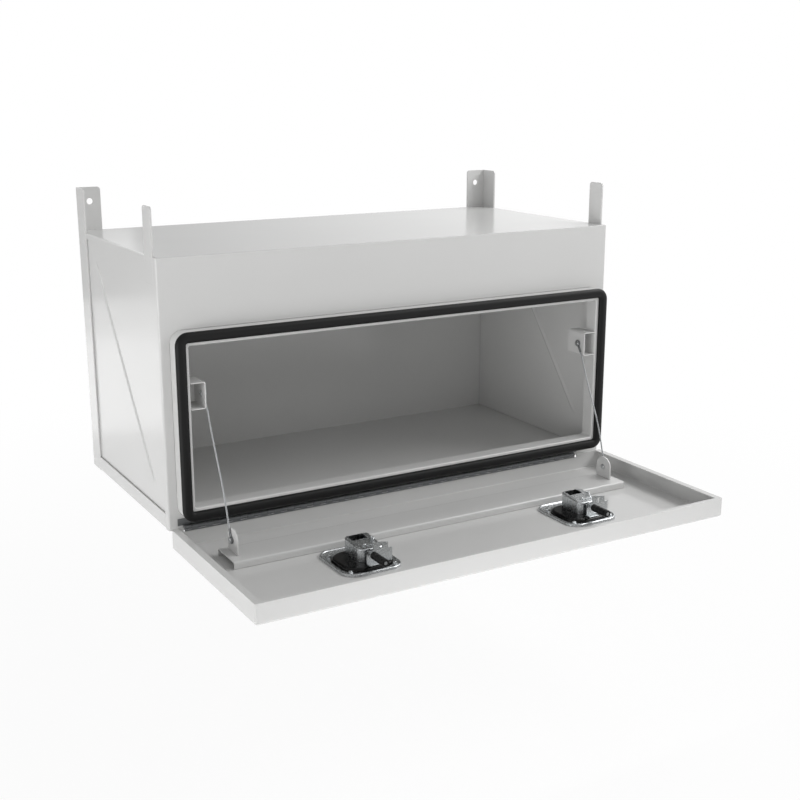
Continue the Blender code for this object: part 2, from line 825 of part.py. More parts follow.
def make_cable(side, way, axis):
    """One wire stay: a thin cable with a ferrule and an eye at each end."""
    x = way * (right - cable_plane)
    route = [Vector((x, y, z)) for y, z in cable_route]
    route[0] = Vector((x, bracket_pin_y, bracket_pin_z))
    route[-1] = Vector((x, tab_y, tab_pin_z))
    neck = (eye_radius + stay_pin_radius) / 2
    first_way = (route[1] - route[0]).normalized()
    last_way = (route[-2] - route[-1]).normalized()
    upper_neck = route[0] + first_way * neck
    lower_neck = route[-1] + last_way * neck
    cable = smooth_route([upper_neck] + route[1:-1] + [lower_neck], cable_point_spacing)
    walked = 0
    total = sum((two - one).length for one, two in zip(cable, cable[1:]))
    rings = []
    for number, place in enumerate(cable):
        before = cable[max(number - 1, 0)]
        after = cable[min(number + 1, len(cable) - 1)]
        walked += (place - before).length
        along = (after - before).normalized()
        across = Vector((0, -along.z, along.y))
        from_end = min(walked, total - walked)
        radius = ferrule_radius if from_end < ferrule_length else cable_radius
        turns = [2 * math.pi * (step + 0.5) / cable_sides for step in range(cable_sides)]
        out = Vector((1, 0, 0)) * min(radius, eye_thickness / 2 - weld)
        rings.append([place + across * radius * math.cos(t) + out * math.sin(t) for t in turns])
    stay = make_object(f"stay_cable_{side}", loft(rings), "steel", axis)
    eyes = bmesh.new()
    for end in (route[0], route[-1]):
        outer = circle(end.y, end.z, eye_radius)
        inner = circle(end.y, end.z, stay_pin_radius + fit_gap)
        x_low = x - eye_thickness / 2
        x_high = x + eye_thickness / 2
        section = ((outer, x_low), (outer, x_high), (inner, x_high), (inner, x_low))
        loft([[point("x", a, b, place) for a, b in ring] for ring, place in section], loop=True, bm=eyes)
    join(stay, eyes, "eyes")


# Latches


def stud_places(x):
    """The four studs of a latch, each just outside a round corner of the dish, on its diagonal."""
    out = (dish_corner + stud_from_dish) * math.cos(math.pi / 4)
    spread_x = dish_width / 2 - dish_corner + out
    spread_y = dish_length / 2 - dish_corner + out
    return [(x + way_x * spread_x, latch_y + way_y * spread_y) for way_x in (-1, 1) for way_y in (-1, 1)]


def latch_ring(x, half_x, half_y, corner, z):
    """A ring of points round a latch, at one height."""
    outline = rounded(x - half_x, x + half_x, latch_y - half_y, latch_y + half_y, corner)
    return [point("z", a, b, z) for a, b in outline]


def plate_ring(x, inset, z):
    """A ring of points round a latch's plate, which reaches further to the hinge than to the door's end."""
    outline = rounded(
        x - latch_plate_side + inset,
        x + latch_plate_side - inset,
        latch_plate_front + inset,
        latch_plate_back - inset,
        latch_plate_corner - inset,
    )
    return [point("z", a, b, z) for a, b in outline]


def make_dish(side, x, axis):
    """The recess that the handle folds into, pressed up through the door, with studs on its flange."""
    half_x = dish_width / 2
    half_y = dish_length / 2
    rings = [
        latch_ring(x, half_x - dish_edge - dish_draft, half_y - dish_edge - dish_draft, dish_corner - dish_edge,
                   dish_ceiling),
        latch_ring(x, half_x - dish_sheet - dish_draft, half_y - dish_sheet - dish_draft,
                   dish_corner - dish_sheet, dish_ceiling - dish_edge + dish_sheet),
        latch_ring(x, half_x - dish_sheet, half_y - dish_sheet, dish_corner - dish_sheet, flange_under),
        plate_ring(x, 0, flange_under),
        plate_ring(x, 0, flange_top),
        latch_ring(x, half_x, half_y, dish_corner, flange_top),
        latch_ring(x, half_x - dish_draft, half_y - dish_draft, dish_corner, dish_top - dish_edge),
        latch_ring(x, half_x - dish_edge / 2 - dish_draft, half_y - dish_edge / 2 - dish_draft,
                   dish_corner - dish_edge / 2, dish_top - dish_edge / 3),
        latch_ring(x, half_x - dish_edge - dish_draft, half_y - dish_edge - dish_draft, dish_corner - dish_edge,
                   dish_top),
    ]
    dish = make_object(f"latch_dish_{side}", loft(rings), "black_coating", axis)
    studs = bmesh.new()
    stud_top = door_floor + fit_gap + clamp_floor_height + nut_height + stud_tip
    for stud_x, stud_y in stud_places(x):
        outline = circle(stud_x, stud_y, stud_radius, small_sides)
        prism(outline, "z", flange_under + dish_sheet / 2, stud_top, studs)
    join(dish, studs, "studs")
    hole = circle(x, latch_y, spindle_radius + fit_gap)
    cut(dish, prism(hole, "z", dish_ceiling - overrun, dish_top + overrun), "spindle_hole")


def make_gasket(side, x, axis):
    """The flat gasket between the dish's flange and the door."""
    low = door_under - fit_gap - gasket_thickness
    high = door_under - fit_gap
    half_x = dish_width / 2 + fit_gap
    half_y = dish_length / 2 + fit_gap
    corner = dish_corner + fit_gap
    rings = [
        plate_ring(x, 0, low),
        plate_ring(x, 0, high),
        latch_ring(x, half_x, half_y, corner, high),
        latch_ring(x, half_x, half_y, corner, low),
    ]
    gasket = make_object(f"latch_gasket_{side}", loft(rings, loop=True), "black_rubber", axis)
    cut(gasket, stud_cutters(x, low - overrun, high + overrun), "stud_holes")


def stud_cutters(x, low, high):
    holes = bmesh.new()
    for stud_x, stud_y in stud_places(x):
        prism(circle(stud_x, stud_y, stud_radius + stud_clearance, small_sides), "z", low, high, holes)
    return holes


def make_clamp(side, x, axis):
    """The pressed ring that holds the dish from inside the door: a raised rim, a floor and four nuts."""
    low = door_floor + fit_gap
    high = low + clamp_height
    floor_top = low + clamp_floor_height
    floor_under = floor_top - clamp_thickness
    half_x = dish_width / 2 + clamp_hole_margin
    half_y = dish_length / 2 + clamp_hole_margin
    corner = dish_corner + clamp_hole_margin
    edge = clamp_thickness / 2
    rings = [
        plate_ring(x, 0, low),
        plate_ring(x, 0, high - edge),
        plate_ring(x, edge, high),
        plate_ring(x, clamp_rim - edge, high),
        plate_ring(x, clamp_rim, high - edge),
        plate_ring(x, clamp_rim + clamp_rim_slope, floor_top),
        latch_ring(x, half_x, half_y, corner, floor_top),
        latch_ring(x, half_x, half_y, corner, floor_under),
        plate_ring(x, clamp_rim, floor_under),
        plate_ring(x, clamp_rim - clamp_thickness, high - clamp_thickness),
        plate_ring(x, clamp_thickness, high - clamp_thickness),
        plate_ring(x, clamp_thickness, low),
    ]
    clamp = make_object(f"latch_clamp_{side}", loft(rings, loop=True), "bright_zinc", axis)
    nuts = bmesh.new()
    nut_start = floor_top - clamp_thickness / 2
    nut_top = floor_top + nut_height
    for stud_x, stud_y in stud_places(x):
        prism(circle(stud_x, stud_y, nut_radius, 6), "z", nut_start, nut_top, nuts)
    join(clamp, nuts, "nuts")
    cut(clamp, stud_cutters(x, low - overrun, nut_top + overrun), "stud_holes")


def make_housing(side, x, axis):
    """The pressed case over the crank: its roof falls to the front and has a window at the back."""
    low = dish_top + fit_gap
    y_back = latch_y + housing_back
    y_front = latch_y - housing_front
    edge = housing_sheet / 2

    def roof(y, drop):
        return low + housing_height - housing_fall * (y_back - y) / (y_back - y_front) - drop

    def wall_outline(inset):
        corners = (housing_corner, housing_corner, housing_nose, housing_corner)
        radii = tuple(max(corner - inset, housing_sheet) for corner in corners)
        return rounded(
            x - housing_left + inset, x + housing_right - inset, y_front + inset, y_back - inset, radii
        )

    window_left = x - housing_left + housing_window_side
    window_back = y_back - housing_window_back
    window = rounded(
        window_left,
        window_left + housing_window_width,
        window_back - housing_window_length,
        window_back,
        housing_window_corner,
    )
    rings = [
        [(a, b, low) for a, b in wall_outline(0)],
        [(a, b, roof(b, edge)) for a, b in wall_outline(0)],
        [(a, b, roof(b, 0)) for a, b in wall_outline(edge)],
        [(a, b, roof(b, 0)) for a, b in window],
        [(a, b, roof(b, housing_sheet)) for a, b in window],
        [(a, b, roof(b, housing_sheet)) for a, b in wall_outline(housing_sheet)],
        [(a, b, low) for a, b in wall_outline(housing_sheet)],
    ]
    housing = make_object(f"latch_housing_{side}", loft(rings, loop=True), "bright_zinc", axis)
    gap = bolt_rod_radius + bolt_fork_clearance
    bolt_window = block(
        x - gap, x + gap, y_front - overrun, y_front + housing_sheet + overrun, bolt_z - gap, bolt_z + gap
    )
    cut(housing, bolt_window, "bolt_window")


def make_guide(side, x, axis):
    """The upright plate in front of the case: the bolt slides through it, and its raised ear has a slot."""
    low = dish_top + fit_gap
    y_face = latch_y - guide_from_centre
    outline = (
        (x - guide_left, low),
        (x + guide_wing_right, low),
        (x + guide_wing_right, low + guide_wing_height),
        (x + guide_ear_right, low + guide_wing_height),
        (x + guide_ear_right, low + guide_ear_height_right),
        (x + guide_ear_left, low + guide_ear_height_left),
        (x + guide_ear_left, low + guide_height),
        (x - guide_left, low + guide_height),
    )
    plate = prism(outline, "y", y_face - guide_sheet, y_face)
    guide = make_object(f"latch_guide_{side}", plate, "bright_zinc", axis)
    foot_front = y_face - guide_sheet - guide_foot
    foot = block(
        x - guide_left, x + guide_foot_right, foot_front, y_face - guide_sheet / 2, low, low + guide_sheet
    )
    join(guide, foot, "foot")
    y_low = y_face - guide_sheet - overrun
    y_high = y_face + overrun
    hole = prism(circle(x, bolt_z, bolt_rod_radius + fit_gap), "y", y_low, y_high)
    slot_x = x + guide_slot_place
    slot_z = bolt_z + guide_slot_rise
    slot = rounded(
        slot_x - guide_slot_half_width,
        slot_x + guide_slot_half_width,
        slot_z - guide_slot_half_height,
        slot_z + guide_slot_half_height,
        guide_slot_half_width,
    )
    cut(guide, prism(slot, "y", y_low, y_high, hole), "holes")


def square_ring(x, half, z):
    """A ring of points on a square, matched to a round ring of as many points."""
    ring = []
    for a, b in circle(0, 0, 1):
        reach = half / max(abs(a), abs(b))
        ring.append((x + a * reach, latch_y + b * reach, z))
    return ring


def make_spindle(side, x, axis):
    """The turned hub and spindle: a clevis for the grip below the dish and a square for the crank above."""

    def ring(radius, z):
        return [point("z", a, b, z) for a, b in circle(x, latch_y, radius)]

    half = spindle_square / 2
    rings = [
        ring(hub_radius, hub_under),
        ring(hub_radius, hub_top),
        ring(spindle_radius, hub_top),
        ring(spindle_radius, crank_under - fit_gap),
        square_ring(x, half, crank_under - fit_gap),
        square_ring(x, half, crank_top + fit_gap),
    ]
    spindle = make_object(f"latch_spindle_{side}", loft(rings), "steel", axis)
    reach = hub_radius + overrun
    slot_half = grip_stem_width / 2 + fit_gap
    slot_top = hub_top - hub_slot_roof
    slot = block(x - reach, x + reach, latch_y - slot_half, latch_y + slot_half, hub_under - overrun, slot_top)
    cut(spindle, slot, "grip_slot")
    hole = circle(x, grip_pivot_z, grip_pivot_radius + fit_gap, small_sides)
    cut(spindle, prism(hole, "y", latch_y - reach, latch_y + reach), "pivot_hole")


def crank_pin_place(x):
    """Where the crank's pin stands with the bolt drawn back."""
    return x + crank_radius * math.cos(crank_start), latch_y + fork_y


def make_crank(side, x, axis):
    """The arm on the spindle, whose pin drives the bolt's fork."""
    pin_x, pin_y = crank_pin_place(x)
    turns = [step / small_sides * math.pi for step in range(small_sides + 1)]
    aim = crank_start - math.pi / 2
    arm = [(pin_x + crank_end_radius * math.cos(aim + t), pin_y + crank_end_radius * math.sin(aim + t))
           for t in turns]
    arm += [(x + crank_boss_radius * math.cos(aim + math.pi + t),
             latch_y + crank_boss_radius * math.sin(aim + math.pi + t)) for t in turns]
    crank = make_object(f"latch_crank_{side}", prism(arm, "z", crank_under, crank_top), "steel", axis)
    pin_low = crank_top - crank_thickness / 2
    pin = prism(circle(pin_x, pin_y, crank_pin_radius, small_sides), "z", pin_low, crank_top + crank_pin_height)
    join(crank, pin, "drive_pin")
    half = spindle_square / 2 + fit_gap
    hole = block(
        x - half, x + half, latch_y - half, latch_y + half, crank_under - overrun, crank_top + overrun
    )
    cut(crank, hole, "square_hole")


def make_bolt(side, x, axis):
    """The sliding bolt: a fork that the crank's pin drives, and a round rod."""
    pin_x, pin_y = crank_pin_place(x)
    mouth = crank_pin_radius + bolt_fork_clearance
    fork_low = pin_y - mouth - bolt_fork_arm
    fork_high = pin_y + mouth + bolt_fork_arm
    throat = pin_x - mouth
    fork_end = x + bolt_fork_reach
    half = bolt_tail_half_width
    plate_start = latch_y - housing_front + housing_sheet + bolt_travel + bolt_stop_gap
    outline = (
        (x - half, plate_start),
        (x + half, plate_start),
        (x + half, fork_low),
        (fork_end, fork_low),
        (fork_end, pin_y - mouth),
        (throat, pin_y - mouth),
        (throat, pin_y + mouth),
        (fork_end, pin_y + mouth),
        (fork_end, fork_high),
        (x - half, fork_high),
    )
    plate = prism(outline, "z", bolt_z - bolt_tail_thickness / 2, bolt_z + bolt_tail_thickness / 2)
    bolt = make_object(f"latch_bolt_{side}", plate, "bright_zinc", axis)
    tip = latch_y - bolt_tip_from_centre
    rod = circle(x, bolt_z, bolt_rod_radius)
    join(bolt, prism(rod, "y", tip, plate_start + overrun), "rod")


def make_sleeve(side, x, axis):
    """The plastic sleeve on the bolt's free end."""
    tip = latch_y - bolt_tip_from_centre
    start = tip + bolt_sleeve_length
    edge = bolt_sleeve_radius - bolt_rod_radius - fit_gap
    outer = circle(x, bolt_z, bolt_sleeve_radius)
    chamfer = circle(x, bolt_z, bolt_sleeve_radius - edge / 3)
    inner = circle(x, bolt_z, bolt_rod_radius + fit_gap)
    section = ((chamfer, tip), (outer, tip + edge / 3), (outer, start), (inner, start), (inner, tip))
    rings = [[point("y", a, b, y) for a, b in ring] for ring, y in section]
    make_object(f"bolt_sleeve_{side}", loft(rings, loop=True), "black_rubber", axis)


def make_grip(side, x, axis):
    """The folding T grip: a stem that turns in the hub's slot, a cross bar and a boss for the lock."""
    radius = grip_stem_thickness / 2
    turns = [step / small_sides * math.pi - math.pi / 2 for step in range(small_sides + 1)]
    outline = [(x + radius * math.cos(t), grip_pivot_z + radius * math.sin(t)) for t in turns]
    bar_x = x - grip_reach
    outline += [(bar_x, grip_pivot_z + radius), (bar_x, grip_pivot_z - radius)]
    half = grip_stem_width / 2
    bm = prism(outline, "y", latch_y - half, latch_y + half)
    grip = make_object(f"latch_grip_{side}", bm, "black_coating", axis)
    depth = grip_bar_depth / 2
    width = grip_bar_width / 2
    thick = grip_bar_thickness / 2
    bar = rounded(bar_x - depth, bar_x + depth, latch_y - width, latch_y + width, depth)
    join(grip, prism(bar, "z", grip_pivot_z - thick, grip_pivot_z + thick), "cross_bar")
    boss_half = grip_boss_thickness / 2
    boss = circle(bar_x, latch_y, grip_boss_radius)
    join(grip, prism(boss, "z", grip_pivot_z - boss_half, grip_pivot_z + boss_half), "boss")
    face = grip_pivot_z - boss_half
    bore = circle(bar_x, latch_y, plug_radius + fit_gap)
    cut(grip, prism(bore, "z", face - overrun, face + plug_height + fit_gap), "lock_bore")
    hole = circle(x, grip_pivot_z, grip_pivot_radius + fit_gap, small_sides)
    cut(grip, prism(hole, "y", latch_y - half - overrun, latch_y + half + overrun), "pivot_hole")


def make_grip_pin(side, x, axis):
    reach = math.sqrt(hub_radius ** 2 - grip_pivot_radius ** 2) - fit_gap
    pin = prism(circle(x, grip_pivot_z, grip_pivot_radius, small_sides), "y", latch_y - reach, latch_y + reach)
    make_object(f"latch_grip_pin_{side}", pin, "steel", axis)


def make_lock_plug(side, x, axis):
    """The key plug in the grip's boss."""
    centre = x - grip_reach
    face = grip_pivot_z - grip_boss_thickness / 2
    plug = prism(circle(centre, latch_y, plug_radius), "z", face, face + plug_height)
    plug = make_object(f"lock_plug_{side}", plug, "bright_zinc", axis)
    long = key_slot_length / 2
    wide = key_slot_width / 2
    slot = block(
        centre - long, centre + long, latch_y - wide, latch_y + wide, face - overrun, face + key_slot_depth
    )
    cut(plug, slot, "key_slot")


def make_latch(side, x, door_axis):
    """One latch, from the dish outside the door to the bolt inside it."""
    turn_axis = axis_empty(f"handle_axis_{side}", (x, latch_y, hub_under), door_axis)
    fold_axis = axis_empty(f"grip_axis_{side}", (x, latch_y, grip_pivot_z), turn_axis)
    plug_axis = axis_empty(f"lock_axis_{side}", (x - grip_reach, latch_y, grip_pivot_z), fold_axis)
    bolt_axis = axis_empty(f"bolt_axis_{side}", (x, latch_y, bolt_z), door_axis)
    make_dish(side, x, door_axis)
    make_gasket(side, x, door_axis)
    make_clamp(side, x, door_axis)
    make_housing(side, x, door_axis)
    make_guide(side, x, door_axis)
    make_spindle(side, x, turn_axis)
    make_crank(side, x, turn_axis)
    make_grip_pin(side, x, turn_axis)
    make_grip(side, x, fold_axis)
    make_lock_plug(side, x, plug_axis)
    make_bolt(side, x, bolt_axis)
    make_sleeve(side, x, bolt_axis)


def main():
    clear_scene()
    door_axis = axis_empty("door_axis", (0, hinge_y, hinge_z))
    make_tray("top_panel", box_height, box_height - lid_lip, front + front_return + bar_width + 2 * fit_gap)
    make_tray("floor_panel", 0, floor_flange, front + front_return + fit_gap)
    make_front_panel()
    make_back_panel()
    make_collar()
    make_seal()
    make_hinge(door_axis)
    make_door_pan(door_axis)
    make_stiffener(door_axis)
    for side, way in sides():
        make_side_panel(side, way)
        make_rear_post(side, way)
        make_front_bar(side, way)
        make_bracket(side, way)
        make_tab(side, way, door_axis)
        make_stay_pins(side, way, door_axis)
        make_cable(side, way, door_axis)
        make_latch(side, latch_places[side], door_axis)


main()
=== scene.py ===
# %% [markdown]
# # An underbody truck tool box with its door let down
# This file is a lesson. It takes a finished, measured model of a steel truck box and dresses it:
# the sheet gets soft edges, the hinge its rolled knuckles, the latches their cast and plated
# pieces, and every surface its real finish. No size changes. The measured model comes first,
# because each new piece is placed from it.

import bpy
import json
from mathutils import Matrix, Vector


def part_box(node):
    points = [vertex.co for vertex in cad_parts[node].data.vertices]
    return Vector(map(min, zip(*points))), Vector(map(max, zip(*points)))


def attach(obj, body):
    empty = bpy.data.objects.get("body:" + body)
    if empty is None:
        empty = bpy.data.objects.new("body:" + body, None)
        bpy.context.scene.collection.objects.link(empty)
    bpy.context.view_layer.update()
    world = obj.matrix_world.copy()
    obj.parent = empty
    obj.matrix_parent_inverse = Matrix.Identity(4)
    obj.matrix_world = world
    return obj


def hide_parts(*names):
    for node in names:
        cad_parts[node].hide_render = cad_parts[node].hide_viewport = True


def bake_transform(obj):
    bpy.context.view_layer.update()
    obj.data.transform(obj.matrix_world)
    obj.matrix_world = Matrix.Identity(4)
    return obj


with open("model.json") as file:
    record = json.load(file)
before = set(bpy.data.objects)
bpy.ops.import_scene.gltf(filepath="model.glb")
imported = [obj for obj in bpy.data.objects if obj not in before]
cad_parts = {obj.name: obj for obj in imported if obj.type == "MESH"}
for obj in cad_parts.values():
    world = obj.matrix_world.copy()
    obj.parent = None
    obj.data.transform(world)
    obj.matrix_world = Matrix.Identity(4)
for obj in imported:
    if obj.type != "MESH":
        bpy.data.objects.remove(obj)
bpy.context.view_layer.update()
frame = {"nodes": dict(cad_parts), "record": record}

# %% [markdown]
# `bmesh` holds the modelling operators of Edit Mode, and `mathutils` has vectors and matrices.
# Blender counts in metres, so a small helper lets small sizes be written in millimetres.

# %% Modules and units
import json
import math

import bmesh
import bpy
from mathutils import Matrix, Vector


def mm(length):
    """Millimetres as metres."""
    return length / 1000


bodies = frame["record"]["behaviour"]["bodies"]
node_body = {node: body for body, nodes in bodies.items() for node in nodes}

# %% [markdown]
# ## Finishes
# A screen's colours are sRGB, while shaders count light linearly, so one function turns a hex
# colour into the linear one. A second adds a node with its settings and links, so that each recipe
# reads from top to bottom. Patterns read Object coordinates, so they stay on a piece when it
# moves, and their scale comes from a real length.

# %% Colour and node helpers
def linear(hex_colour):
    """The linear colour of an sRGB hex value."""
    channels = []
    for place in (1, 3, 5):
        value = int(hex_colour[place:place + 2], 16) / 255
        channels.append(value / 12.92 if value <= 0.04045 else ((value + 0.055) / 1.055) ** 2.4)
    return (*channels, 1)


def add_node(look, kind, values=None, links=None, into=None, **settings):
    """Add one node: its settings, its sockets' values, what feeds them and what it feeds.

    A source that is a node, and not one of its sockets, gives its first output.
    """
    node = look.node_tree.nodes.new(kind)
    for name, setting in settings.items():
        setattr(node, name, setting)
    for name, value in (values or {}).items():
        node.inputs[name].default_value = value
    for name, source in (links or {}).items():
        socket = source.outputs[0] if isinstance(source, bpy.types.Node) else source
        look.node_tree.links.new(socket, node.inputs[name])
    if into:
        look.node_tree.links.new(node.outputs[0], into)
    return node


def start_finish(name, roughness, metallic, **more):
    """A material, its shader's sockets with their plain values, and Object coordinates."""
    look = bpy.data.materials.new(name)
    look.use_nodes = True
    shader = look.node_tree.nodes["Principled BSDF"].inputs
    shader["Roughness"].default_value = roughness
    shader["Metallic"].default_value = metallic
    for socket, value in more.items():
        shader[socket.replace("_", " ")].default_value = value
    place = add_node(look, "ShaderNodeTexCoord").outputs["Object"]
    return look, shader, place


def per_metre(wavelength_mm):
    """The Scale of a texture whose pattern repeats after this many millimetres."""
    return 1000 / wavelength_mm


print("pale grey in linear light:", [round(value, 3) for value in linear("#dbdbda")])

# %% [markdown]
# The box is steel under a **baked polyester powder coat**. Powder melts into a film that is
# smooth but never flat: it keeps a faint swell, called orange peel, which gives broad soft
# reflections with slightly wandering edges. A wide, slow noise varies the gloss a little, as
# wiping does. The dishes have the coat in black.

# %% Powder-coated steel
cloud_mm, gloss_drift, peel_strength = 220, 0.02, 0.35


def powder_coat(name, colour, shade, roughness, peel_mm, peel_height_mm, **more):
    look, shader, place = start_finish(name, roughness, 0.0, **more)
    clouds = add_node(look, "ShaderNodeTexNoise", {"Scale": per_metre(cloud_mm), "Detail": 1},
                      {"Vector": place})
    add_node(look, "ShaderNodeMixRGB", {"Color1": linear(colour), "Color2": linear(shade)},
             {"Fac": clouds}, shader["Base Color"])
    add_node(look, "ShaderNodeMapRange",
             {"From Min": 0.3, "From Max": 0.7,
              "To Min": roughness - gloss_drift, "To Max": roughness + gloss_drift},
             {"Value": clouds}, shader["Roughness"])
    peel = add_node(look, "ShaderNodeTexNoise", {"Scale": per_metre(peel_mm), "Detail": 2},
                    {"Vector": place})
    add_node(look, "ShaderNodeBump", {"Strength": peel_strength, "Distance": mm(peel_height_mm)},
             {"Height": peel}, shader["Normal"])
    return look


white_coat = powder_coat("pale_grey_powder_coat", "#dbdbda", "#d8d8d7", 0.16, 3.0, 0.02)
black_coat = powder_coat("black_powder_coat", "#070707", "#0b0b0b", 0.16, 1.6, 0.01,
                         Specular_IOR_Level=0.3)
print("powder coats:", white_coat.name, black_coat.name)

# %% [markdown]
# The door seal is **extruded EPDM rubber**, and the bolts wear sleeves of **moulded black nylon**.
# Both are near black. Rubber leaves the die with a fine, dull skin and catches a broad grey sheen
# on its crown, while nylon is a little smoother, so its highlight is tighter.

# %% Rubber and nylon
def black_polymer(name, colour, shade, roughness, grain_mm, grain_height_mm, **more):
    look, shader, place = start_finish(name, roughness, 0.0, **more)
    grain = add_node(look, "ShaderNodeTexNoise", {"Scale": per_metre(grain_mm), "Detail": 4},
                     {"Vector": place})
    add_node(look, "ShaderNodeMixRGB", {"Color1": linear(colour), "Color2": linear(shade)},
             {"Fac": grain}, shader["Base Color"])
    add_node(look, "ShaderNodeBump", {"Strength": 0.4, "Distance": mm(grain_height_mm)},
             {"Height": grain}, shader["Normal"])
    return look


seal_rubber = black_polymer("extruded_epdm_rubber", "#101010", "#171717", 0.5, 1.2, 0.05,
                            Specular_IOR_Level=0.25)
black_nylon = black_polymer("moulded_black_nylon", "#0f0f0f", "#161616", 0.4, 2.0, 0.02,
                            Specular_IOR_Level=0.4)
print("polymers:", seal_rubber.name, black_nylon.name)

# %% [markdown]
# The latch ring, case and bolt are **zinc-plated steel**. Its crystals reflect in slightly
# different directions, so a flat face breaks into faint lighter and darker patches. A Voronoi
# texture gives each patch its own tone and gloss, and a low ripple bends long reflections. The
# patches are 3 mm wide, larger than real crystals, so that they still show. The hinge and the
# wire ropes are **drawn steel**: fine lines along the metal stretch every highlight across them.
# The hinge's steel is coloured darker than bare steel: painted shade for the shadow the hinge lies
# in.

# %% Zinc plate and drawn steel
ripple_mm, ripple_height_mm = 2.5, 0.008


def zinc_plate(name, colour, shade, roughness, patch_mm):
    look, shader, place = start_finish(name, roughness, 1.0)
    crystals = add_node(look, "ShaderNodeTexVoronoi", {"Scale": per_metre(patch_mm)},
                        {"Vector": place})
    tone = add_node(look, "ShaderNodeSeparateColor", {}, {"Color": crystals.outputs["Color"]})
    add_node(look, "ShaderNodeMixRGB", {"Color1": linear(colour), "Color2": linear(shade)},
             {"Fac": tone.outputs["Red"]}, shader["Base Color"])
    add_node(look, "ShaderNodeMapRange", {"To Min": roughness - 0.03, "To Max": roughness + 0.04},
             {"Value": tone.outputs["Green"]}, shader["Roughness"])
    ripple = add_node(look, "ShaderNodeTexNoise", {"Scale": per_metre(ripple_mm), "Detail": 3},
                      {"Vector": place})
    add_node(look, "ShaderNodeBump", {"Strength": 0.3, "Distance": mm(ripple_height_mm)},
             {"Height": ripple}, shader["Normal"])
    return look


def drawn_steel(name, colour, shade, roughness, line_mm, run_mm, way):
    """Steel with fine draw lines along one axis: x, y or z."""
    look, shader, place = start_finish(name, roughness, 1.0)
    scales = [per_metre(run_mm) if axis == way else per_metre(line_mm) for axis in "xyz"]
    stretched = add_node(look, "ShaderNodeMapping", {"Scale": scales}, {"Vector": place})
    lines = add_node(look, "ShaderNodeTexNoise", {"Scale": 1, "Detail": 4}, {"Vector": stretched})
    add_node(look, "ShaderNodeMixRGB", {"Color1": linear(colour), "Color2": linear(shade)},
             {"Fac": lines}, shader["Base Color"])
    add_node(look, "ShaderNodeMapRange", {"To Min": roughness - 0.05, "To Max": roughness + 0.1},
             {"Value": lines}, shader["Roughness"])
    return look


zinc = zinc_plate("zinc_plated_steel", "#d6d8d9", "#cbced0", 0.28, 3.0)
# The hinge's two steel tones are darker than bare steel: painted shade for the shadow the hinge
# lies in.
steel = drawn_steel("hinge_steel_with_painted_shade", "#8a8c8e", "#767879", 0.44, 0.5, 30, "x")
rope_steel = drawn_steel("galvanised_rope_wire", "#cfd1d3", "#a4a6a8", 0.38, 0.6, 30, "y")
print("metals:", zinc.name, steel.name, rope_steel.name)

# %% [markdown]
# ## Soft edges
# Sheet metal never has a razor edge. The measured pieces are plain solids cut into loose
# triangles, so a copy is first merged back into whole faces, and a **Bevel** modifier rounds its
# sharp edges. **Weighted Normal** keeps the broad faces flat, so only the narrow rounds catch the
# light. A bare skin gets its thickness from **Solidify**, which needs to know which side is out:
# the face that lies furthest out is asked, because an open skin has no inside.

# %% The finishing helpers
FINISH_SLOTS = {"powder_coat": white_coat, "seal_rubber": seal_rubber, "steel": steel,
                "zinc": zinc, "black_coating": black_coat, "sleeve_plastic": black_nylon}
slot_of = {part["node"]: part["material_slot"] for part in frame["record"]["subparts"]}
smooth_angle = math.radians(32)
finished = set()


def new_object(name, data):
    """An object with this data, linked to the scene."""
    made = bpy.data.objects.new(name, data)
    bpy.context.scene.collection.objects.link(made)
    return made


def finish_piece(name, bm, nodes, edge=0.0, wall=0.0, out=(0, 0, 1), slot=None, body=None):
    """Turn a bmesh into a shaded object that stands for measured nodes and rides on their body."""
    bmesh.ops.remove_doubles(bm, verts=bm.verts, dist=mm(0.002))
    bmesh.ops.recalc_face_normals(bm, faces=bm.faces)
    if wall:
        outermost = max(bm.faces, key=lambda face: face.calc_center_median().dot(Vector(out)))
        if outermost.normal.dot(Vector(out)) < 0:
            bmesh.ops.reverse_faces(bm, faces=bm.faces)
    mesh = bpy.data.meshes.new(name)
    bm.to_mesh(mesh)
    bm.free()
    piece = new_object(name, mesh)
    slot = slot or slot_of[nodes[0]]
    mesh.materials.append(FINISH_SLOTS[slot])
    mesh.shade_smooth()
    mesh.set_sharp_from_angle(angle=smooth_angle)
    if wall:
        thickness = piece.modifiers.new("sheet", "SOLIDIFY")
        thickness.thickness = wall
        thickness.offset = -1
        thickness.use_even_offset = True
    if edge:
        rounding = piece.modifiers.new("edge_rounding", "BEVEL")
        rounding.width = edge
        rounding.segments = 2
        rounding.limit_method = "ANGLE"
        rounding.angle_limit = smooth_angle
        piece.modifiers.new("flat_faces", "WEIGHTED_NORMAL")
    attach(piece, body or node_body[nodes[0]])
    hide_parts(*nodes)
    finished.update(nodes)
    return piece


def merged_copy(node):
    """A bmesh copy of a measured node with its loose triangles merged into whole faces."""
    bm = bmesh.new()
    bm.from_mesh(frame["nodes"][node].data)
    bmesh.ops.remove_doubles(bm, verts=bm.verts, dist=mm(0.01))
    bmesh.ops.dissolve_limit(bm, angle_limit=math.radians(0.5), verts=bm.verts, edges=bm.edges)
    return bm


print(len(FINISH_SLOTS), "finishes for", len(slot_of), "measured pieces")

# %% [markdown]
# ## Shaping helpers
# Most of this box is folded or pressed sheet, and a pressed sheet is a row of outlines joined by
# smooth bands. `round_loop` makes one outline: it rounds the corners of a flat face and deletes
# the face, which leaves its edges. `skin` bridges neighbouring outlines into bands. Two outlines
# in exactly one plane would get a twisted band, so they are set a few hundredths of a millimetre
# apart.

# %% Outlines and skins
TO_AXIS = {
    "x": Matrix(((0, 0, 1, 0), (1, 0, 0, 0), (0, 1, 0, 0), (0, 0, 0, 1))),
    "y": Matrix(((1, 0, 0, 0), (0, 0, 1, 0), (0, 1, 0, 0), (0, 0, 0, 1))),
    "z": Matrix.Identity(4),
}


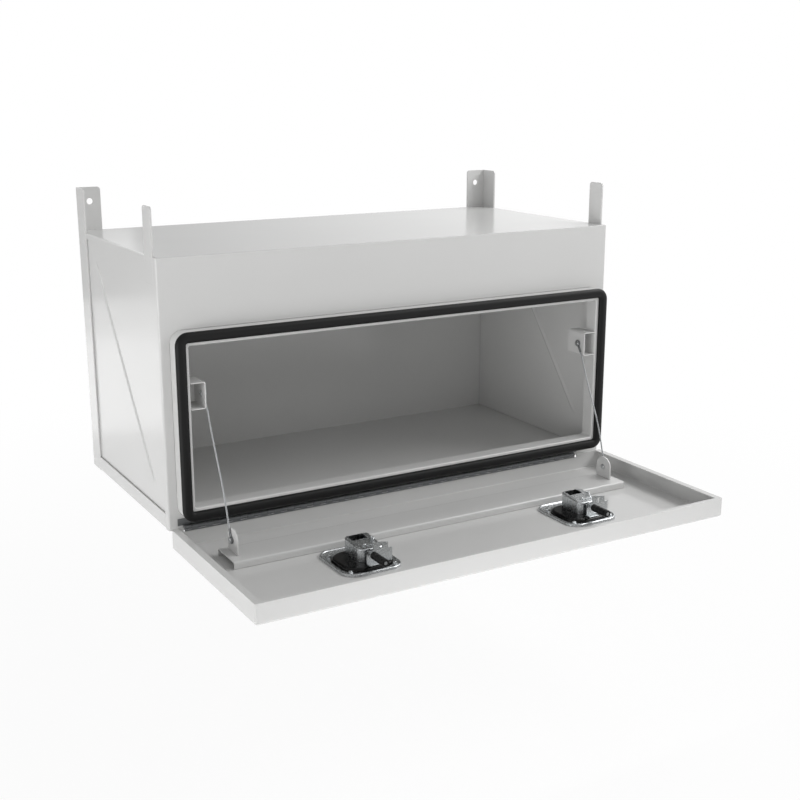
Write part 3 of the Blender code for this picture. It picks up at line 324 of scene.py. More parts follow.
def flat_face(bm, spans, axis, level):
    """The corners of a one-face rectangle, square to an axis at one level along it."""
    (a_low, a_high), (b_low, b_high) = spans
    verts = bmesh.ops.create_grid(bm, x_segments=1, y_segments=1, size=0.5)["verts"]
    bmesh.ops.scale(bm, vec=(a_high - a_low, b_high - b_low, 1), verts=verts)
    middle = ((a_low + a_high) / 2, (b_low + b_high) / 2, level)
    bmesh.ops.translate(bm, vec=middle, verts=verts)
    bmesh.ops.transform(bm, matrix=TO_AXIS[axis], verts=verts)
    return verts


def round_off(bm, geom, radius, steps, affect="EDGES"):
    """Bevel edges, or corners, to a round of so many steps."""
    return bmesh.ops.bevel(bm, geom=geom, offset=radius, offset_type="OFFSET", segments=steps,
                           profile=0.5, affect=affect, material=-1)


def round_loop(bm, spans, corner, axis, level, steps=8):
    """The edges of a rectangle with round corners."""
    verts = flat_face(bm, spans, axis, level)
    for vert, radius in zip(verts, corner if isinstance(corner, tuple) else (corner,) * 4):
        made = round_off(bm, [vert], radius, steps, "VERTICES")
    face = made["verts"][0].link_faces[0]
    edges = face.edges[:]
    bmesh.ops.delete(bm, geom=[face], context="FACES_ONLY")
    return edges


def skin(bm, loops, closed=False):
    """Bridge each outline to the next, and the last to the first for a closed section."""
    followers = loops[1:] + loops[:1] if closed else loops[1:]
    for one, two in zip(loops, followers):
        bmesh.ops.bridge_loops(bm, edges=one + two)


trial = bmesh.new()
print("a round outline has", len(round_loop(trial, ((0, 1), (0, 1)), 0.1, "z", 0)), "edges")
trial.free()

# %% [markdown]
# Round pieces come off a lathe, so `turned` spins a profile. Windows in a sheet are cut along
# planes and opened by deleting what lies between. A flat blank is pulled out to its thickness.

# %% Turned shapes, blocks, cuts and pulls
def turned(bm, profile, centre, axis="z", steps=32, ring=False):
    """Spin a profile of (radius, height) points all the way round an axis through the centre."""
    way = TO_AXIS[axis].to_3x3()
    places = [Vector(centre) + way @ Vector((radius, 0, height)) for radius, height in profile]
    verts = [bm.verts.new(place) for place in places]
    pairs = zip(verts, verts[1:] + verts[:1] if ring else verts[1:])
    edges = [bm.edges.new(pair) for pair in pairs]
    bmesh.ops.spin(bm, geom=verts + edges, cent=centre, axis=way @ Vector((0, 0, 1)),
                   angle=2 * math.pi, steps=steps, use_merge=True)


def rod_profile(radius, length, chamfer):
    """The profile of a rod with both ends chamfered."""
    return [(0, 0), (radius - chamfer, 0), (radius, chamfer), (radius, length - chamfer),
            (radius - chamfer, length), (0, length)]


def soft_block(bm, corner, opposite, radius, steps=3):
    """A block between two opposite corners with its edges rounded."""
    low, high = (Vector(ends) for ends in zip(*map(sorted, zip(corner, opposite))))
    verts = bmesh.ops.create_cube(bm, size=1)["verts"]
    bmesh.ops.scale(bm, vec=high - low, verts=verts)
    bmesh.ops.translate(bm, vec=(low + high) / 2, verts=verts)
    round_off(bm, list({edge for vert in verts for edge in vert.link_edges}), radius, steps)


def cut_along(bm, planes):
    """Cut every face that crosses a plane; each plane is a place and a direction."""
    for place, normal in planes:
        bmesh.ops.bisect_plane(bm, geom=bm.verts[:] + bm.edges[:] + bm.faces[:], dist=mm(0.001),
                               plane_co=place, plane_no=normal)


def open_window(bm, lies_inside):
    """Delete the faces whose middle lies inside the window."""
    window = [face for face in bm.faces if lies_inside(face.calc_center_median())]
    bmesh.ops.delete(bm, geom=window, context="FACES")
    return len(window)


def pull_out(bm, faces, way):
    """Extrude faces and move the new ones along a vector."""
    pulled = bmesh.ops.extrude_face_region(bm, geom=faces)["geom"]
    tops = [item for item in pulled if isinstance(item, bmesh.types.BMVert)]
    bmesh.ops.translate(bm, vec=way, verts=tops)
    return pulled


trial = bmesh.new()
soft_block(trial, (0, 0, 0), (1, 1, 1), 0.1)
print("a soft block has", len(trial.faces), "faces")
trial.free()

# %% [markdown]
# ## The pressed sides
# Each side panel has one long crease pressed into it, from the rear top down to the front foot, to
# stiffen the sheet. A press tool has round shoulders, so a V-shaped groove would look wrong: the
# face is cut into narrow strips across the crease, and each cut line is pushed in by a smooth wave
# that fades out at both ends. The sheet gets its thickness last.

# %% Side panels
crease_depth, crease_half, crease_fade = mm(3.0), mm(7.5), mm(30)
foot_from_front, foot_from_floor, head_from_back, head_from_top = mm(66), mm(60), mm(88), mm(49)
crease_steps = [step / 6 for step in range(-6, 7)]
box_sheet = mm(2)


def make_side(side, way):
    node = f"side_panel_{side}"
    low, high = (Vector(corner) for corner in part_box(node))
    outer = high.x if way > 0 else low.x
    bm = bmesh.new()
    flat_face(bm, ((low.y, high.y), (low.z, high.z)), "x", outer)
    front_low, front_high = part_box("front_panel")
    back_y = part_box("rear_post_left")[1][1]
    foot = Vector((0, front_low[1] + foot_from_front, front_low[2] + foot_from_floor))
    head = Vector((0, back_y - head_from_back, front_high[2] - head_from_top))
    along = (head - foot).normalized()
    across = Vector((0, -along.z, along.y))
    length = (head - foot).length
    cuts = [(foot + across * crease_half * share, across) for share in crease_steps]
    cuts += [(foot + along * crease_fade * step / 4, along) for step in range(5)]
    cuts += [(head - along * crease_fade * step / 4, along) for step in range(5)]
    cut_along(bm, cuts)
    for vert in bm.verts:
        offset = Vector((0, vert.co.y, vert.co.z)) - foot
        sideways = abs(offset.dot(across)) / crease_half
        from_end = min(offset.dot(along), length - offset.dot(along)) / crease_fade
        if sideways < 1 and from_end > 0:
            fade = math.sin(min(from_end, 1) * math.pi / 2) ** 2
            vert.co.x -= way * crease_depth * math.cos(sideways * math.pi / 2) ** 2 * fade
    pull_out(bm, bm.faces[:], (-way * box_sheet, 0, 0))
    return finish_piece(f"{node}_pressed", bm, [node], edge=mm(0.3))


for side, way in (("left", -1), ("right", 1)):
    piece = make_side(side, way)
    print(piece.name, len(piece.data.polygons), "faces")

# %% [markdown]
# ## The collar round the opening
# A channel of folded sheet stands proud of the front and carries the rubber seal. It is one strip
# bent to a U, so it is modelled as a single skin: outlines of the opening, bridged in order round
# the folds. Solidify then gives the sheet its 2 mm.

# %% Outlines of the opening
collar_low, collar_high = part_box("opening_collar")
collar_width = mm(22.5)
fold = mm(2.6)


def quarter(radius, steps=4):
    """The points of a quarter round as (inset, drop) pairs, from the wall to the face."""
    turns = [step / steps * math.pi / 2 for step in range(steps + 1)]
    return [(radius - radius * math.cos(turn), radius - radius * math.sin(turn)) for turn in turns]


def opening_loop(bm, inset, y, outside_corner=mm(21), inside_corner=mm(4)):
    """An outline of the door opening, inset from the collar's outside."""
    spans = ((collar_low[0] + inset, collar_high[0] - inset),
             (collar_low[2] + inset, collar_high[2] - inset))
    corner = max(outside_corner - inset, inside_corner)
    return round_loop(bm, spans, corner, "y", y, steps=10)


bm = bmesh.new()
face, tail = collar_low[1], collar_high[1]
section = [(0, tail)] + [(inset, face + drop) for inset, drop in quarter(fold)]
section += [(collar_width - inset, face + drop) for inset, drop in reversed(quarter(fold))]
section += [(collar_width, tail)]
skin(bm, [opening_loop(bm, inset, y) for inset, y in section])
print("collar skin:", len(bm.faces), "faces")

# %% [markdown]
# The two bolts need windows in the collar's inner wall. On a skin without thickness those are
# easy: cut along three planes, delete what lies inside. Each window sits where its bolt arrives
# when the door is shut.

# %% Bolt windows and the finished collar
keeper_half = mm(10)
inner_top = collar_high[2] - collar_width
pin_reach, bolt_z, hinge_z = mm(2.4), mm(0.1), mm(4.1)
thrown_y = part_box("hinge_pin")[0][1] + pin_reach + bolt_z - hinge_z
latch_x = {side: sum(corner[0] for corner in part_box(f"latch_spindle_{side}")) / 2
           for side in ("left", "right")}
for x in latch_x.values():
    cut_along(bm, [((x - keeper_half, 0, 0), (1, 0, 0)), ((x + keeper_half, 0, 0), (1, 0, 0)),
                   ((0, thrown_y - keeper_half, 0), (0, 1, 0))])
    opened = open_window(bm, lambda middle: abs(middle.x - x) < keeper_half
                         and middle.y > thrown_y - keeper_half
                         and abs(middle.z - inner_top) < mm(1))
    print("bolt window at", round(x, 4), "of", opened, "faces")
collar = finish_piece("opening_collar_folded", bm, ["opening_collar"], edge=mm(0.3),
                      wall=box_sheet, out=(0, -1, 0))
print(collar.name, len(collar.data.polygons), "faces")

# %% [markdown]
# ## The rubber seal
# The seal is an extruded strip stuck to the collar's face. Its section is a flat foot under a low
# dome, so the outlines climb the dome in small steps and close over the foot. More steps than the
# measured model has let the long highlight run unbroken round the corners. A power below one
# makes the dome's shoulders fuller than a half circle's, as soft rubber has them.

# %% Door seal
seal_low, seal_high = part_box("door_seal")
seal_width, seal_rise, seal_overhang = mm(18), seal_high[1] - seal_low[1], mm(1)
dome_steps, dome_power = 12, 0.7
bm = bmesh.new()
outlines = []
for step in range(dome_steps + 1):
    turn = math.pi * step / dome_steps
    inset = -seal_overhang + seal_width * (1 - math.cos(turn)) / 2
    rise = seal_rise * math.sin(turn) ** dome_power
    outlines.append(opening_loop(bm, inset, seal_high[1] - rise))
skin(bm, outlines, closed=True)
seal = finish_piece("door_seal_domed", bm, ["door_seal"])
print(seal.name, len(seal.data.polygons), "faces")

# %% [markdown]
# ## The continuous hinge
# This is the piece that takes the most skill to make. Each leaf is a strip whose edge is cut into
# tongues, and every tongue is rolled round the pin, one leaf's tongues filling the gaps of the
# other's. A roll is a flat section turned about the pin's axis, which is what **spin** does: a
# small rectangle is spun 310 degrees, and the last 50 stay open. A tongue's flat part stops a
# hair inside the leaf's faces, so that no two faces share a plane.

# %% Hinge knuckles
pin_low, pin_high = (Vector(corner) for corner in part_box("hinge_pin"))
hinge_line = (pin_low + pin_high) / 2
knuckle_pitch, knuckle_gap, knuckle_radius, leaf_sheet = mm(12.7), mm(0.6), mm(4.2), mm(1.5)
hinge_start, knuckle_count = pin_low.x, 65
tongue_root, leaf_root, hair = mm(3.7), mm(3.4), mm(0.03)
curl_share = 0.86


def rolled_knuckle(bm, x_low, x_high, way):
    """One tongue of a leaf: a short flat part and its roll round the pin."""
    face_y = hinge_line.y + way * knuckle_radius
    soft_block(bm, (x_low, face_y - way * hair, hinge_line.z),
               (x_high, face_y - way * (leaf_sheet - hair), hinge_line.z + way * tongue_root),
               mm(0.1), 1)
    spans = (x_low, x_high), sorted((face_y, face_y - way * leaf_sheet))
    corners = flat_face(bm, spans, "z", hinge_line.z)
    bmesh.ops.spin(bm, geom=[corners[0].link_faces[0]], cent=hinge_line, axis=(-1, 0, 0),
                   angle=2 * math.pi * curl_share, steps=18)


def hinge_leaf(node, way, first):
    """A leaf's strip and every second knuckle, from the first on."""
    low, high = (Vector(corner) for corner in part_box(node))
    bm = bmesh.new()
    face_y = hinge_line.y + way * knuckle_radius
    soft_block(bm, (low.x, face_y, hinge_line.z + way * leaf_root),
               (high.x, face_y - way * leaf_sheet, high.z if way > 0 else low.z), mm(0.25), 2)
    for number in range(first, knuckle_count, 2):
        start = hinge_start + number * knuckle_pitch + knuckle_gap / 2
        rolled_knuckle(bm, start, start + knuckle_pitch - knuckle_gap, way)
    return finish_piece(f"{node}_rolled", bm, [node])


for piece in (hinge_leaf("hinge_leaf_box", 1, 0), hinge_leaf("hinge_leaf_door", -1, 1)):
    print(piece.name, len(piece.data.polygons), "faces")

# %% [markdown]
# The **hinge pin** is a drawn rod with its ends chamfered, so its profile is spun like any other
# turned piece.

# %% Hinge pin
pin_radius, pin_length = (pin_high.z - pin_low.z) / 2, pin_high.x - pin_low.x
bm = bmesh.new()
turned(bm, rod_profile(pin_radius, pin_length, mm(0.4)),
       (pin_low.x, hinge_line.y, hinge_line.z), "x", 16)
print(finish_piece("hinge_pin_turned", bm, ["hinge_pin"]).name, round(pin_length, 4), "m long")

# %% [markdown]
# ## Rivets and wire stays
# Each stay is a thin steel wire rope with an eye at both ends. The eyes hang on rivets, one
# through a bracket on the collar and one through an ear on the door. A rivet is lathe work: a
# shank with a domed head at both ends.

# %% Rivets
dome_rise, head_depth, neck_depth, shank = mm(1.1), mm(2.2), mm(2.5), mm(3)


def rivet(node):
    low, high = (Vector(corner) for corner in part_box(node))
    middle = (low + high) / 2
    length, head = high.x - low.x, (high.z - low.z) / 2
    turns = [step * math.pi / 12 for step in range(7)]
    dome = [(head * math.cos(turn), dome_rise * math.sin(turn)) for turn in turns]
    first = [(radius, dome_rise - rise) for radius, rise in reversed(dome)]
    last = [(radius, length - dome_rise + rise) for radius, rise in dome]
    body = [(head, head_depth), (shank, neck_depth),
            (shank, length - neck_depth), (head, length - head_depth)]
    bm = bmesh.new()
    turned(bm, first + body + last, (low.x, middle.y, middle.z), "x", 24)
    return finish_piece(f"{node}_domed", bm, [node])


for side in ("left", "right"):
    for end in ("upper", "lower"):
        print(rivet(f"stay_pin_{end}_{side}").name)

# %% [markdown]
# The **rope** is six wires laid round a line, so its light breaks into the fine slanting beads
# that tell rope from rod. The line sags a little between its ends. A curve with a round bevel is
# the quickest wire, and it is made a mesh before it is finished. The rope joins two bodies, so it
# is blended between them and not fixed to one.

# %% The line of the rope
rope_route = [(-224, 234), (-239, 207), (-250, 181), (-269, 141),
              (-290, 98), (-304, 62), (-312, 35), (-322, 8)]
rope_radius, wire_radius, rope_lay = mm(1.4), mm(0.47), mm(11)
wire_count, end_clear, place_gap = 6, mm(16), mm(0.9)


def smooth_line(points, spacing):
    """Places at about even spacing on a smooth line through the points."""
    padded = [points[0]] + points + [points[-1]]
    fine = []
    for one, two, three, four in zip(padded, padded[1:], padded[2:], padded[3:]):
        steps = max(2, round((three - two).length / spacing))
        for step in range(steps):
            t = step / steps
            fine.append((2 * two + (three - one) * t
                         + (2 * one - 5 * two + 4 * three - four) * t ** 2
                         + (3 * two - one - 3 * three + four) * t ** 3) / 2)
    return fine + [points[-1]]


route_points = [Vector((0, mm(y), mm(z))) for y, z in rope_route]
route_length = sum((two - one).length for one, two in zip(route_points, route_points[1:]))
print("rope from pin to pin:", round(route_length, 3), "m")

# %% [markdown]
# A wire rope ends in an eye round its rivet, closed by a **ferrule**: a short tube pressed flat
# over the strands. The eyes don't stretch, so the upper one rides on the box and the lower one on
# the door.

# %% Wire ropes, their eyes and ferrules
eye_radius, eye_thick, eye_wide = mm(4.9), mm(1.55), mm(1.38)
ferrule_radius, ferrule_length, ferrule_start, ferrule_flatness = mm(2.5), mm(14), mm(4.8), 0.55


def rope_strands(name, line):
    """A closed mesh of wires that wind round a line."""
    strands = bpy.data.curves.new(f"{name}_strands", "CURVE")
    strands.dimensions = "3D"
    strands.bevel_depth = wire_radius
    strands.bevel_resolution = 1
    strands.use_fill_caps = True
    for number in range(wire_count):
        spline = strands.splines.new("POLY")
        spline.points.add(len(line) - 1)
        walked = 0
        for count, place in enumerate(line):
            before, after = line[max(count - 1, 0)], line[min(count + 1, len(line) - 1)]
            walked += (place - before).length
            across = (after - before).normalized().cross(Vector((1, 0, 0)))
            turn = 2 * math.pi * (walked / rope_lay + number / wire_count)
            out = Vector((1, 0, 0)) * math.cos(turn) + across * math.sin(turn)
            spline.points[count].co = (*(place + out * (rope_radius - wire_radius)), 1)
    holder = new_object("rope_maker", strands)
    mesh = bpy.data.meshes.new_from_object(holder)
    bpy.data.objects.remove(holder)
    mesh.name = f"{name}_rope"
    closed = bmesh.new()
    closed.from_mesh(mesh)
    bmesh.ops.remove_doubles(closed, verts=closed.verts, dist=mm(0.01))
    bmesh.ops.recalc_face_normals(closed, faces=closed.faces)
    closed.to_mesh(mesh)
    closed.free()
    return mesh


def rope_end(name, pin, toward, body, node):
    """An eye round the pin and a flattened ferrule where the rope leaves it."""
    bm = bmesh.new()
    turned(bm, rod_profile(ferrule_radius, ferrule_length, mm(0.6)), (0, 0, 0), "z", 20)
    bmesh.ops.scale(bm, vec=(ferrule_flatness, 1, 1), verts=bm.verts)
    way = (toward - pin).normalized()
    lean = Matrix.Rotation(math.atan2(-way.y, way.z), 4, "X")
    leave = Matrix.Translation(pin + way * ferrule_start)
    bmesh.ops.transform(bm, matrix=leave @ lean, verts=bm.verts)
    turns = [step * math.pi / 6 for step in range(12)]
    eye = [(eye_radius + eye_thick * math.cos(turn), eye_wide * math.sin(turn)) for turn in turns]
    turned(bm, eye, pin, "x", 32, ring=True)
    return finish_piece(name, bm, [node], body=body)


def wire_rope(side):
    """The rope of one stay, fixed to neither box nor door, and its two ends."""
    node = f"stay_cable_{side}"
    x = sum(corner[0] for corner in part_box(node)) / 2
    route = [Vector((x, mm(y), mm(z))) for y, z in rope_route]
    upper_pin, lower_pin = route[0], route[-1]
    route[0] = upper_pin + (route[1] - upper_pin).normalized() * end_clear
    route[-1] = lower_pin + (route[-2] - lower_pin).normalized() * end_clear
    mesh = rope_strands(node, smooth_line(route, place_gap))
    rope = new_object(mesh.name, mesh)
    mesh.materials.clear()
    mesh.materials.append(rope_steel)
    mesh.shade_smooth()
    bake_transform(rope)
    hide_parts(node)
    rope_end(f"stay_eye_upper_{side}", upper_pin, route[0], "box", node)
    rope_end(f"stay_eye_lower_{side}", lower_pin, route[-1], "door", node)
    return rope


for side in ("left", "right"):
    rope = wire_rope(side)
    print(rope.name, len(rope.data.polygons), "faces")

# %% [markdown]
# ## The latches
# Each latch is a stack on one upright spindle. Outside the door: a pressed dish with a folding
# T grip in it. Inside: a clamp ring held by four nuts, a case with a crank in it, and a bolt that
# runs through a guide plate to a plastic sleeve. All places are millimetres from the latch's own
# centre, so both latches use the same cells.

# %% Latch outlines
latch_y = sum(corner[1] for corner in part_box("latch_spindle_left")) / 2


def latch_loop(bm, x, half_x, front, back, corner, z):
    """An outline round a latch's centre, in millimetres."""
    spans = ((x - mm(half_x), x + mm(half_x)), (latch_y - mm(front), latch_y + mm(back)))
    return round_loop(bm, spans, mm(corner), "z", mm(z), steps=10)


def plate_loop(bm, x, inset, z):
    """The outline of flange, gasket and clamp ring, which reaches further towards the hinge."""
    return latch_loop(bm, x, 53.5 - inset, 53 - inset, 66 - inset, 24 - inset, z)


def bowl_loop(bm, x, inset, z, corner=30):
    """An outline of the dish, inset from the hole in the door."""
    return latch_loop(bm, x, 46 - inset, 44 - inset, 44 - inset, corner, z)


def both_latches(*jobs):
    """Shape and finish each piece for the left latch, then for the right one."""
    for side, x in latch_x.items():
        for shape, name, node, finish in jobs:
            bm = bmesh.new()
            shape(bm, x)
            print(finish_piece(name.format(side), bm, [f"{node}_{side}"], **finish).name)


stud_spots = [(way_x * mm(40.3), way_y * mm(38.3)) for way_x in (-1, 1) for way_y in (-1, 1)]
print("latch centres", [(round(x, 4), round(latch_y, 4)) for x in latch_x.values()])

# %% [markdown]
# The **dish** is deep-drawn: a flat flange, a wall with a little draft so that it leaves the die,
# and a crown rounded over into the roof. It is one skin from the flange's rim to the spindle
# hole, thickened by 1.5 mm. A thin gasket lies on the flange, and four studs stand on it.

# %% Dish, gasket and studs
latch_sheet = mm(1.5)
crown, wall_draft, roof_z = 5.5, 1.6, -18


def shape_dish(bm, x):
    outlines = [plate_loop(bm, x, 0, -29.5), bowl_loop(bm, x, -1.2, -29.45, 31.2),
                bowl_loop(bm, x, -0.4, -29.1, 30.4), bowl_loop(bm, x, 0, -28.3)]
    for step in range(7):
        turn = step / 6 * math.pi / 2
        inset = wall_draft + crown * (1 - math.cos(turn))
        level = roof_z - crown * (1 - math.sin(turn))
        outlines.append(bowl_loop(bm, x, inset, level, 30 - inset))
    outlines.append(latch_loop(bm, x, 14, 14, 14, 13.9, roof_z - 0.03))
    outlines.append(latch_loop(bm, x, 5.3, 5.3, 5.3, 5.25, roof_z - 0.06))
    skin(bm, outlines)


def shape_gasket(bm, x):
    low, high = -29.2, -28.2
    skin(bm, [plate_loop(bm, x, 0, low), plate_loop(bm, x, 0, high),
              bowl_loop(bm, x, -0.4, high - 0.05, 30.4),
              bowl_loop(bm, x, -0.4, low + 0.05, 30.4)], closed=True)


def shape_studs(bm, x):
    profile = [(0, mm(-30.2)), (mm(2), mm(-30.2)), (mm(2), mm(-19.4)), (mm(1.6), mm(-19)),
               (0, mm(-19))]
    for stud_x, stud_y in stud_spots:
        turned(bm, profile, (x + stud_x, latch_y + stud_y, 0), "z", 16)


both_latches(
    (shape_dish, "latch_dish_{}_drawn", "latch_dish", {"edge": mm(0.3), "wall": latch_sheet}),
    (shape_gasket, "latch_gasket_{}_cut", "latch_gasket", {"edge": mm(0.2)}),
    (shape_studs, "latch_studs_{}", "latch_dish", {"slot": "zinc"}))

# %% [markdown]
# The **clamp ring** is pressed from zinc-plated sheet: a raised rim stiffens it, and its floor
# widens at the corners to seat the nuts. A hex nut is a six-sided disc pulled up and chamfered,
# and a small turned washer face under it keeps its points off the plate.

# %% Clamp ring and nuts
rim_section = [(0, -25.6), (0, -23.0), (0.3, -22.1), (0.9, -21.6), (1.7, -21.4), (2.8, -21.4),
               (3.6, -21.6), (4.2, -22.1), (4.7, -22.7), (5.5, -23.0)]
washer = [(0, mm(-0.6)), (mm(4.0), mm(-0.6)), (mm(4.0), mm(0)), (mm(3.6), mm(0.15)), (0, mm(0.15))]
nut_radius, nut_height, nut_chamfer, nut_seat = mm(3.9), mm(2.8), mm(0.55), mm(-22.6)


def shape_clamp(bm, x):
    rim = [plate_loop(bm, x, inset, z) for inset, z in rim_section]
    skin(bm, rim + [latch_loop(bm, x, 47, 45, 45, 31, -23.05)])


def shape_nuts(bm, x):
    for stud_x, stud_y in stud_spots:
        place = Vector((x + stud_x, latch_y + stud_y, nut_seat))
        verts = bmesh.ops.create_circle(bm, cap_ends=True, segments=6, radius=nut_radius)["verts"]
        turn = Matrix.Rotation(stud_x * 40, 3, "Z")
        bmesh.ops.rotate(bm, cent=(0, 0, 0), matrix=turn, verts=verts)
        bmesh.ops.translate(bm, vec=place, verts=verts)
        pulled = pull_out(bm, [verts[0].link_faces[0]], (0, 0, nut_height))
        rim_edges = [item for item in pulled if isinstance(item, bmesh.types.BMEdge)]
        round_off(bm, rim_edges, nut_chamfer, 2)
        turned(bm, washer, place, "z", 24)


both_latches(
    (shape_clamp, "latch_clamp_{}_pressed", "latch_clamp", {"edge": mm(0.25), "wall": latch_sheet}),
    (shape_nuts, "latch_nuts_{}", "latch_clamp", {}))

# %% [markdown]
# The **case** over the crank is drawn from sheet like the dish, but its roof falls towards the
# bolt. The roof is first made level, with a quarter-round shoulder, and a **shear** then tilts
# everything above the foot. A window at the back of the roof shows the crank. The hole for the
# bolt is cut in the bare skin, as in the collar.

# %% Latch case
case_left, case_right, case_front, case_back, case_corners = 15, 30, 22, 36, (12, 8, 8, 8)
case_top, roof_fall, case_run = 9.5, 5.5, case_front + case_back
bolt_gap = mm(3.9)


def case_outline(bm, x, inset, z):
    spans = ((x - mm(case_left - inset), x + mm(case_right - inset)),
             (latch_y - mm(case_front - inset), latch_y + mm(case_back - inset)))
    corners = tuple(mm(max(radius - inset, 1)) for radius in case_corners)
    return round_loop(bm, spans, corners, "z", mm(z))


def roof_height(y_mm):
    """How high the case's roof is, this far behind the latch's centre."""
    return case_top - (case_back - y_mm) * roof_fall / case_run


def shape_case(bm, x):
    base = [case_outline(bm, x, 0, -17.7), case_outline(bm, x, 0, -16.0)]
    roof = [case_outline(bm, x, inset * 1000, case_top - drop * 1000)
            for inset, drop in quarter(mm(2.4), 5)]
    window_spans = ((x - mm(9), x + mm(19)), (latch_y + mm(15.5), latch_y + mm(32.5)))
    roof.append(round_loop(bm, window_spans, mm(2), "z", mm(case_top - 0.05)))
    slope = mm(roof_fall) / mm(case_run)
    hinge_side = latch_y + mm(case_back)
    tilt = Matrix(((1, 0, 0, 0), (0, 1, 0, 0), (0, slope, 1, -slope * hinge_side), (0, 0, 0, 1)))
    roof_verts = list({vert for loop in roof for edge in loop for vert in edge.verts})
    bmesh.ops.transform(bm, matrix=tilt, verts=roof_verts)
    skin(bm, base + roof)
    cut_along(bm, [((x - bolt_gap, 0, 0), (1, 0, 0)), ((x + bolt_gap, 0, 0), (1, 0, 0)),
                   ((0, 0, bolt_z - bolt_gap), (0, 0, 1)), ((0, 0, bolt_z + bolt_gap), (0, 0, 1))])
    open_window(bm, lambda middle: abs(middle.x - x) < bolt_gap
                and abs(middle.z - bolt_z) < bolt_gap and middle.y < latch_y - mm(21))


both_latches(
    (shape_case, "latch_case_{}", "latch_housing", {"edge": mm(0.25), "wall": latch_sheet}))

# %% [markdown]
# On the case's roof sit the **pawl** that keeps the crank thrown, its two rivets and a small coil
# spring. The pawl is a rounded strip, and the spring is a wire circle that **spin** carries round
# while `dvec` lifts each step. All of it is made level and then tilted to the roof in one turn.

# %% Pawl, rivets and spring
pawl_place, spring_place = -6, 4.5
spring_radius, spring_wire, spring_rise = mm(3.2), mm(0.55), mm(4.2)
spring_turns, spring_steps = 3, 72


def shape_pawl(bm, x):
    low, high = roof_height(pawl_place) + 0.2, roof_height(pawl_place) + 1.5
    spans = ((x - mm(3), x + mm(23)), (latch_y - mm(11), latch_y - mm(2)))
    loops = [round_loop(bm, spans, mm(4.2), "z", mm(z)) for z in (low, high)]
    skin(bm, loops)
    for loop in loops:
        bmesh.ops.contextual_create(bm, geom=loop)
    head = [(0, -0.4), (2.4, -0.4), (2.4, 0.3), (1.9, 0.8), (1, 1.1), (0, 1.2)]
    profile = [(mm(radius), mm(high + rise)) for radius, rise in head]
    for pin_x in (1.5, 18.5):
        turned(bm, profile, (x + mm(pin_x), latch_y - mm(6.5), 0), "z", 20)
    wire = bmesh.ops.create_circle(bm, cap_ends=False, segments=8, radius=spring_wire)["verts"]
    bmesh.ops.transform(bm, matrix=Matrix.Rotation(math.pi / 2, 4, "X"), verts=wire)
    spring_x, spring_y = x + mm(22), latch_y + mm(spring_place)
    wire_start = (spring_x + spring_radius, spring_y, mm(roof_height(spring_place) + 0.9))
    bmesh.ops.translate(bm, vec=wire_start, verts=wire)
    edges = list({edge for vert in wire for edge in vert.link_edges})
    bmesh.ops.spin(bm, geom=wire + edges, cent=(spring_x, spring_y, 0), axis=(0, 0, 1),
                   dvec=(0, 0, spring_rise / spring_steps), angle=2 * math.pi * spring_turns,
                   steps=spring_steps)
    ends = [edge for edge in bm.edges if edge.is_boundary]
    bmesh.ops.holes_fill(bm, edges=ends, sides=8)
    tilt = Matrix.Rotation(math.atan(roof_fall / case_run), 3, "X")
    bmesh.ops.rotate(bm, cent=(x, latch_y + mm(pawl_place), mm(roof_height(pawl_place))),
                     matrix=tilt, verts=bm.verts)


both_latches((shape_pawl, "latch_pawl_{}", "latch_housing", {"edge": mm(0.2)}))

# %% [markdown]
# The **guide plate** is a flat blank with a raised ear, a lower wing and a slot, stood upright and
# folded at its foot. A flat blank with holes is quickest from its outlines: the outer one as a
# face with rounded corners, the holes as loops, and **triangle fill** covers what lies between.

# %% Guide plate
blank_outline = [(-8.5, -17.7), (38.5, -17.7), (38.5, 4.0), (31, 4.0),
                 (31, 14.5), (4, 18.5), (4, 4.8), (-8.5, 4.8)]
guide_windows = [((15.5, 20.5), (3.1, 13.1), 2.4), ((-3.3, 3.3), (-3.2, 3.4), 3.25)]
guide_place, foot_reach, foot_overlap = mm(32.5), mm(8.5), mm(0.7)


def shape_guide(bm, x):
    face_y = latch_y - guide_place
    blank = bm.faces.new([bm.verts.new((x + mm(a), face_y, mm(z))) for a, z in blank_outline])
    round_off(bm, blank.verts[:], mm(1.2), 4, "VERTICES")
    edges = bm.edges[:]
    bmesh.ops.delete(bm, geom=bm.faces[:], context="FACES_ONLY")
    for (left, right), (low, high), corner in guide_windows:
        spans = ((x + mm(left), x + mm(right)), (mm(low), mm(high)))
        edges += round_loop(bm, spans, mm(corner), "y", face_y, steps=6)
    bmesh.ops.triangle_fill(bm, edges=edges, use_beauty=True)
    pull_out(bm, bm.faces[:], (0, latch_sheet, 0))
    soft_block(bm, (x - mm(8.5), face_y - foot_reach, mm(-17.7)),
               (x + mm(12), face_y + foot_overlap, mm(-16.2)), mm(0.5))


both_latches((shape_guide, "latch_guide_{}_folded", "latch_guide", {"edge": mm(0.3)}))

# %% [markdown]
# The **sleeve** on the bolt is a moulded tube with rounded ends and shallow rings, so its profile
# is a closed loop spun round the bolt.

# %% Bolt sleeve
sleeve_length, sleeve_radius, sleeve_bore, ring_depth = mm(40), mm(6.5), mm(3.3), mm(0.35)


def shape_sleeve(bm, x):
    groove = sleeve_radius - ring_depth
    profile = [(sleeve_bore, 0), (sleeve_radius - mm(1.2), 0), (groove, mm(0.35)),
               (sleeve_radius, mm(1.2))]
    for ring_place in (10, 20, 30):
        profile += [(sleeve_radius, mm(ring_place - 0.8)), (groove, mm(ring_place)),
                    (sleeve_radius, mm(ring_place + 0.8))]
    profile += [(sleeve_radius, sleeve_length - mm(1)), (sleeve_radius - mm(1), sleeve_length),
                (sleeve_bore, sleeve_length)]
    turned(bm, profile, (x, latch_y - mm(80), bolt_z), "y", 36, ring=True)


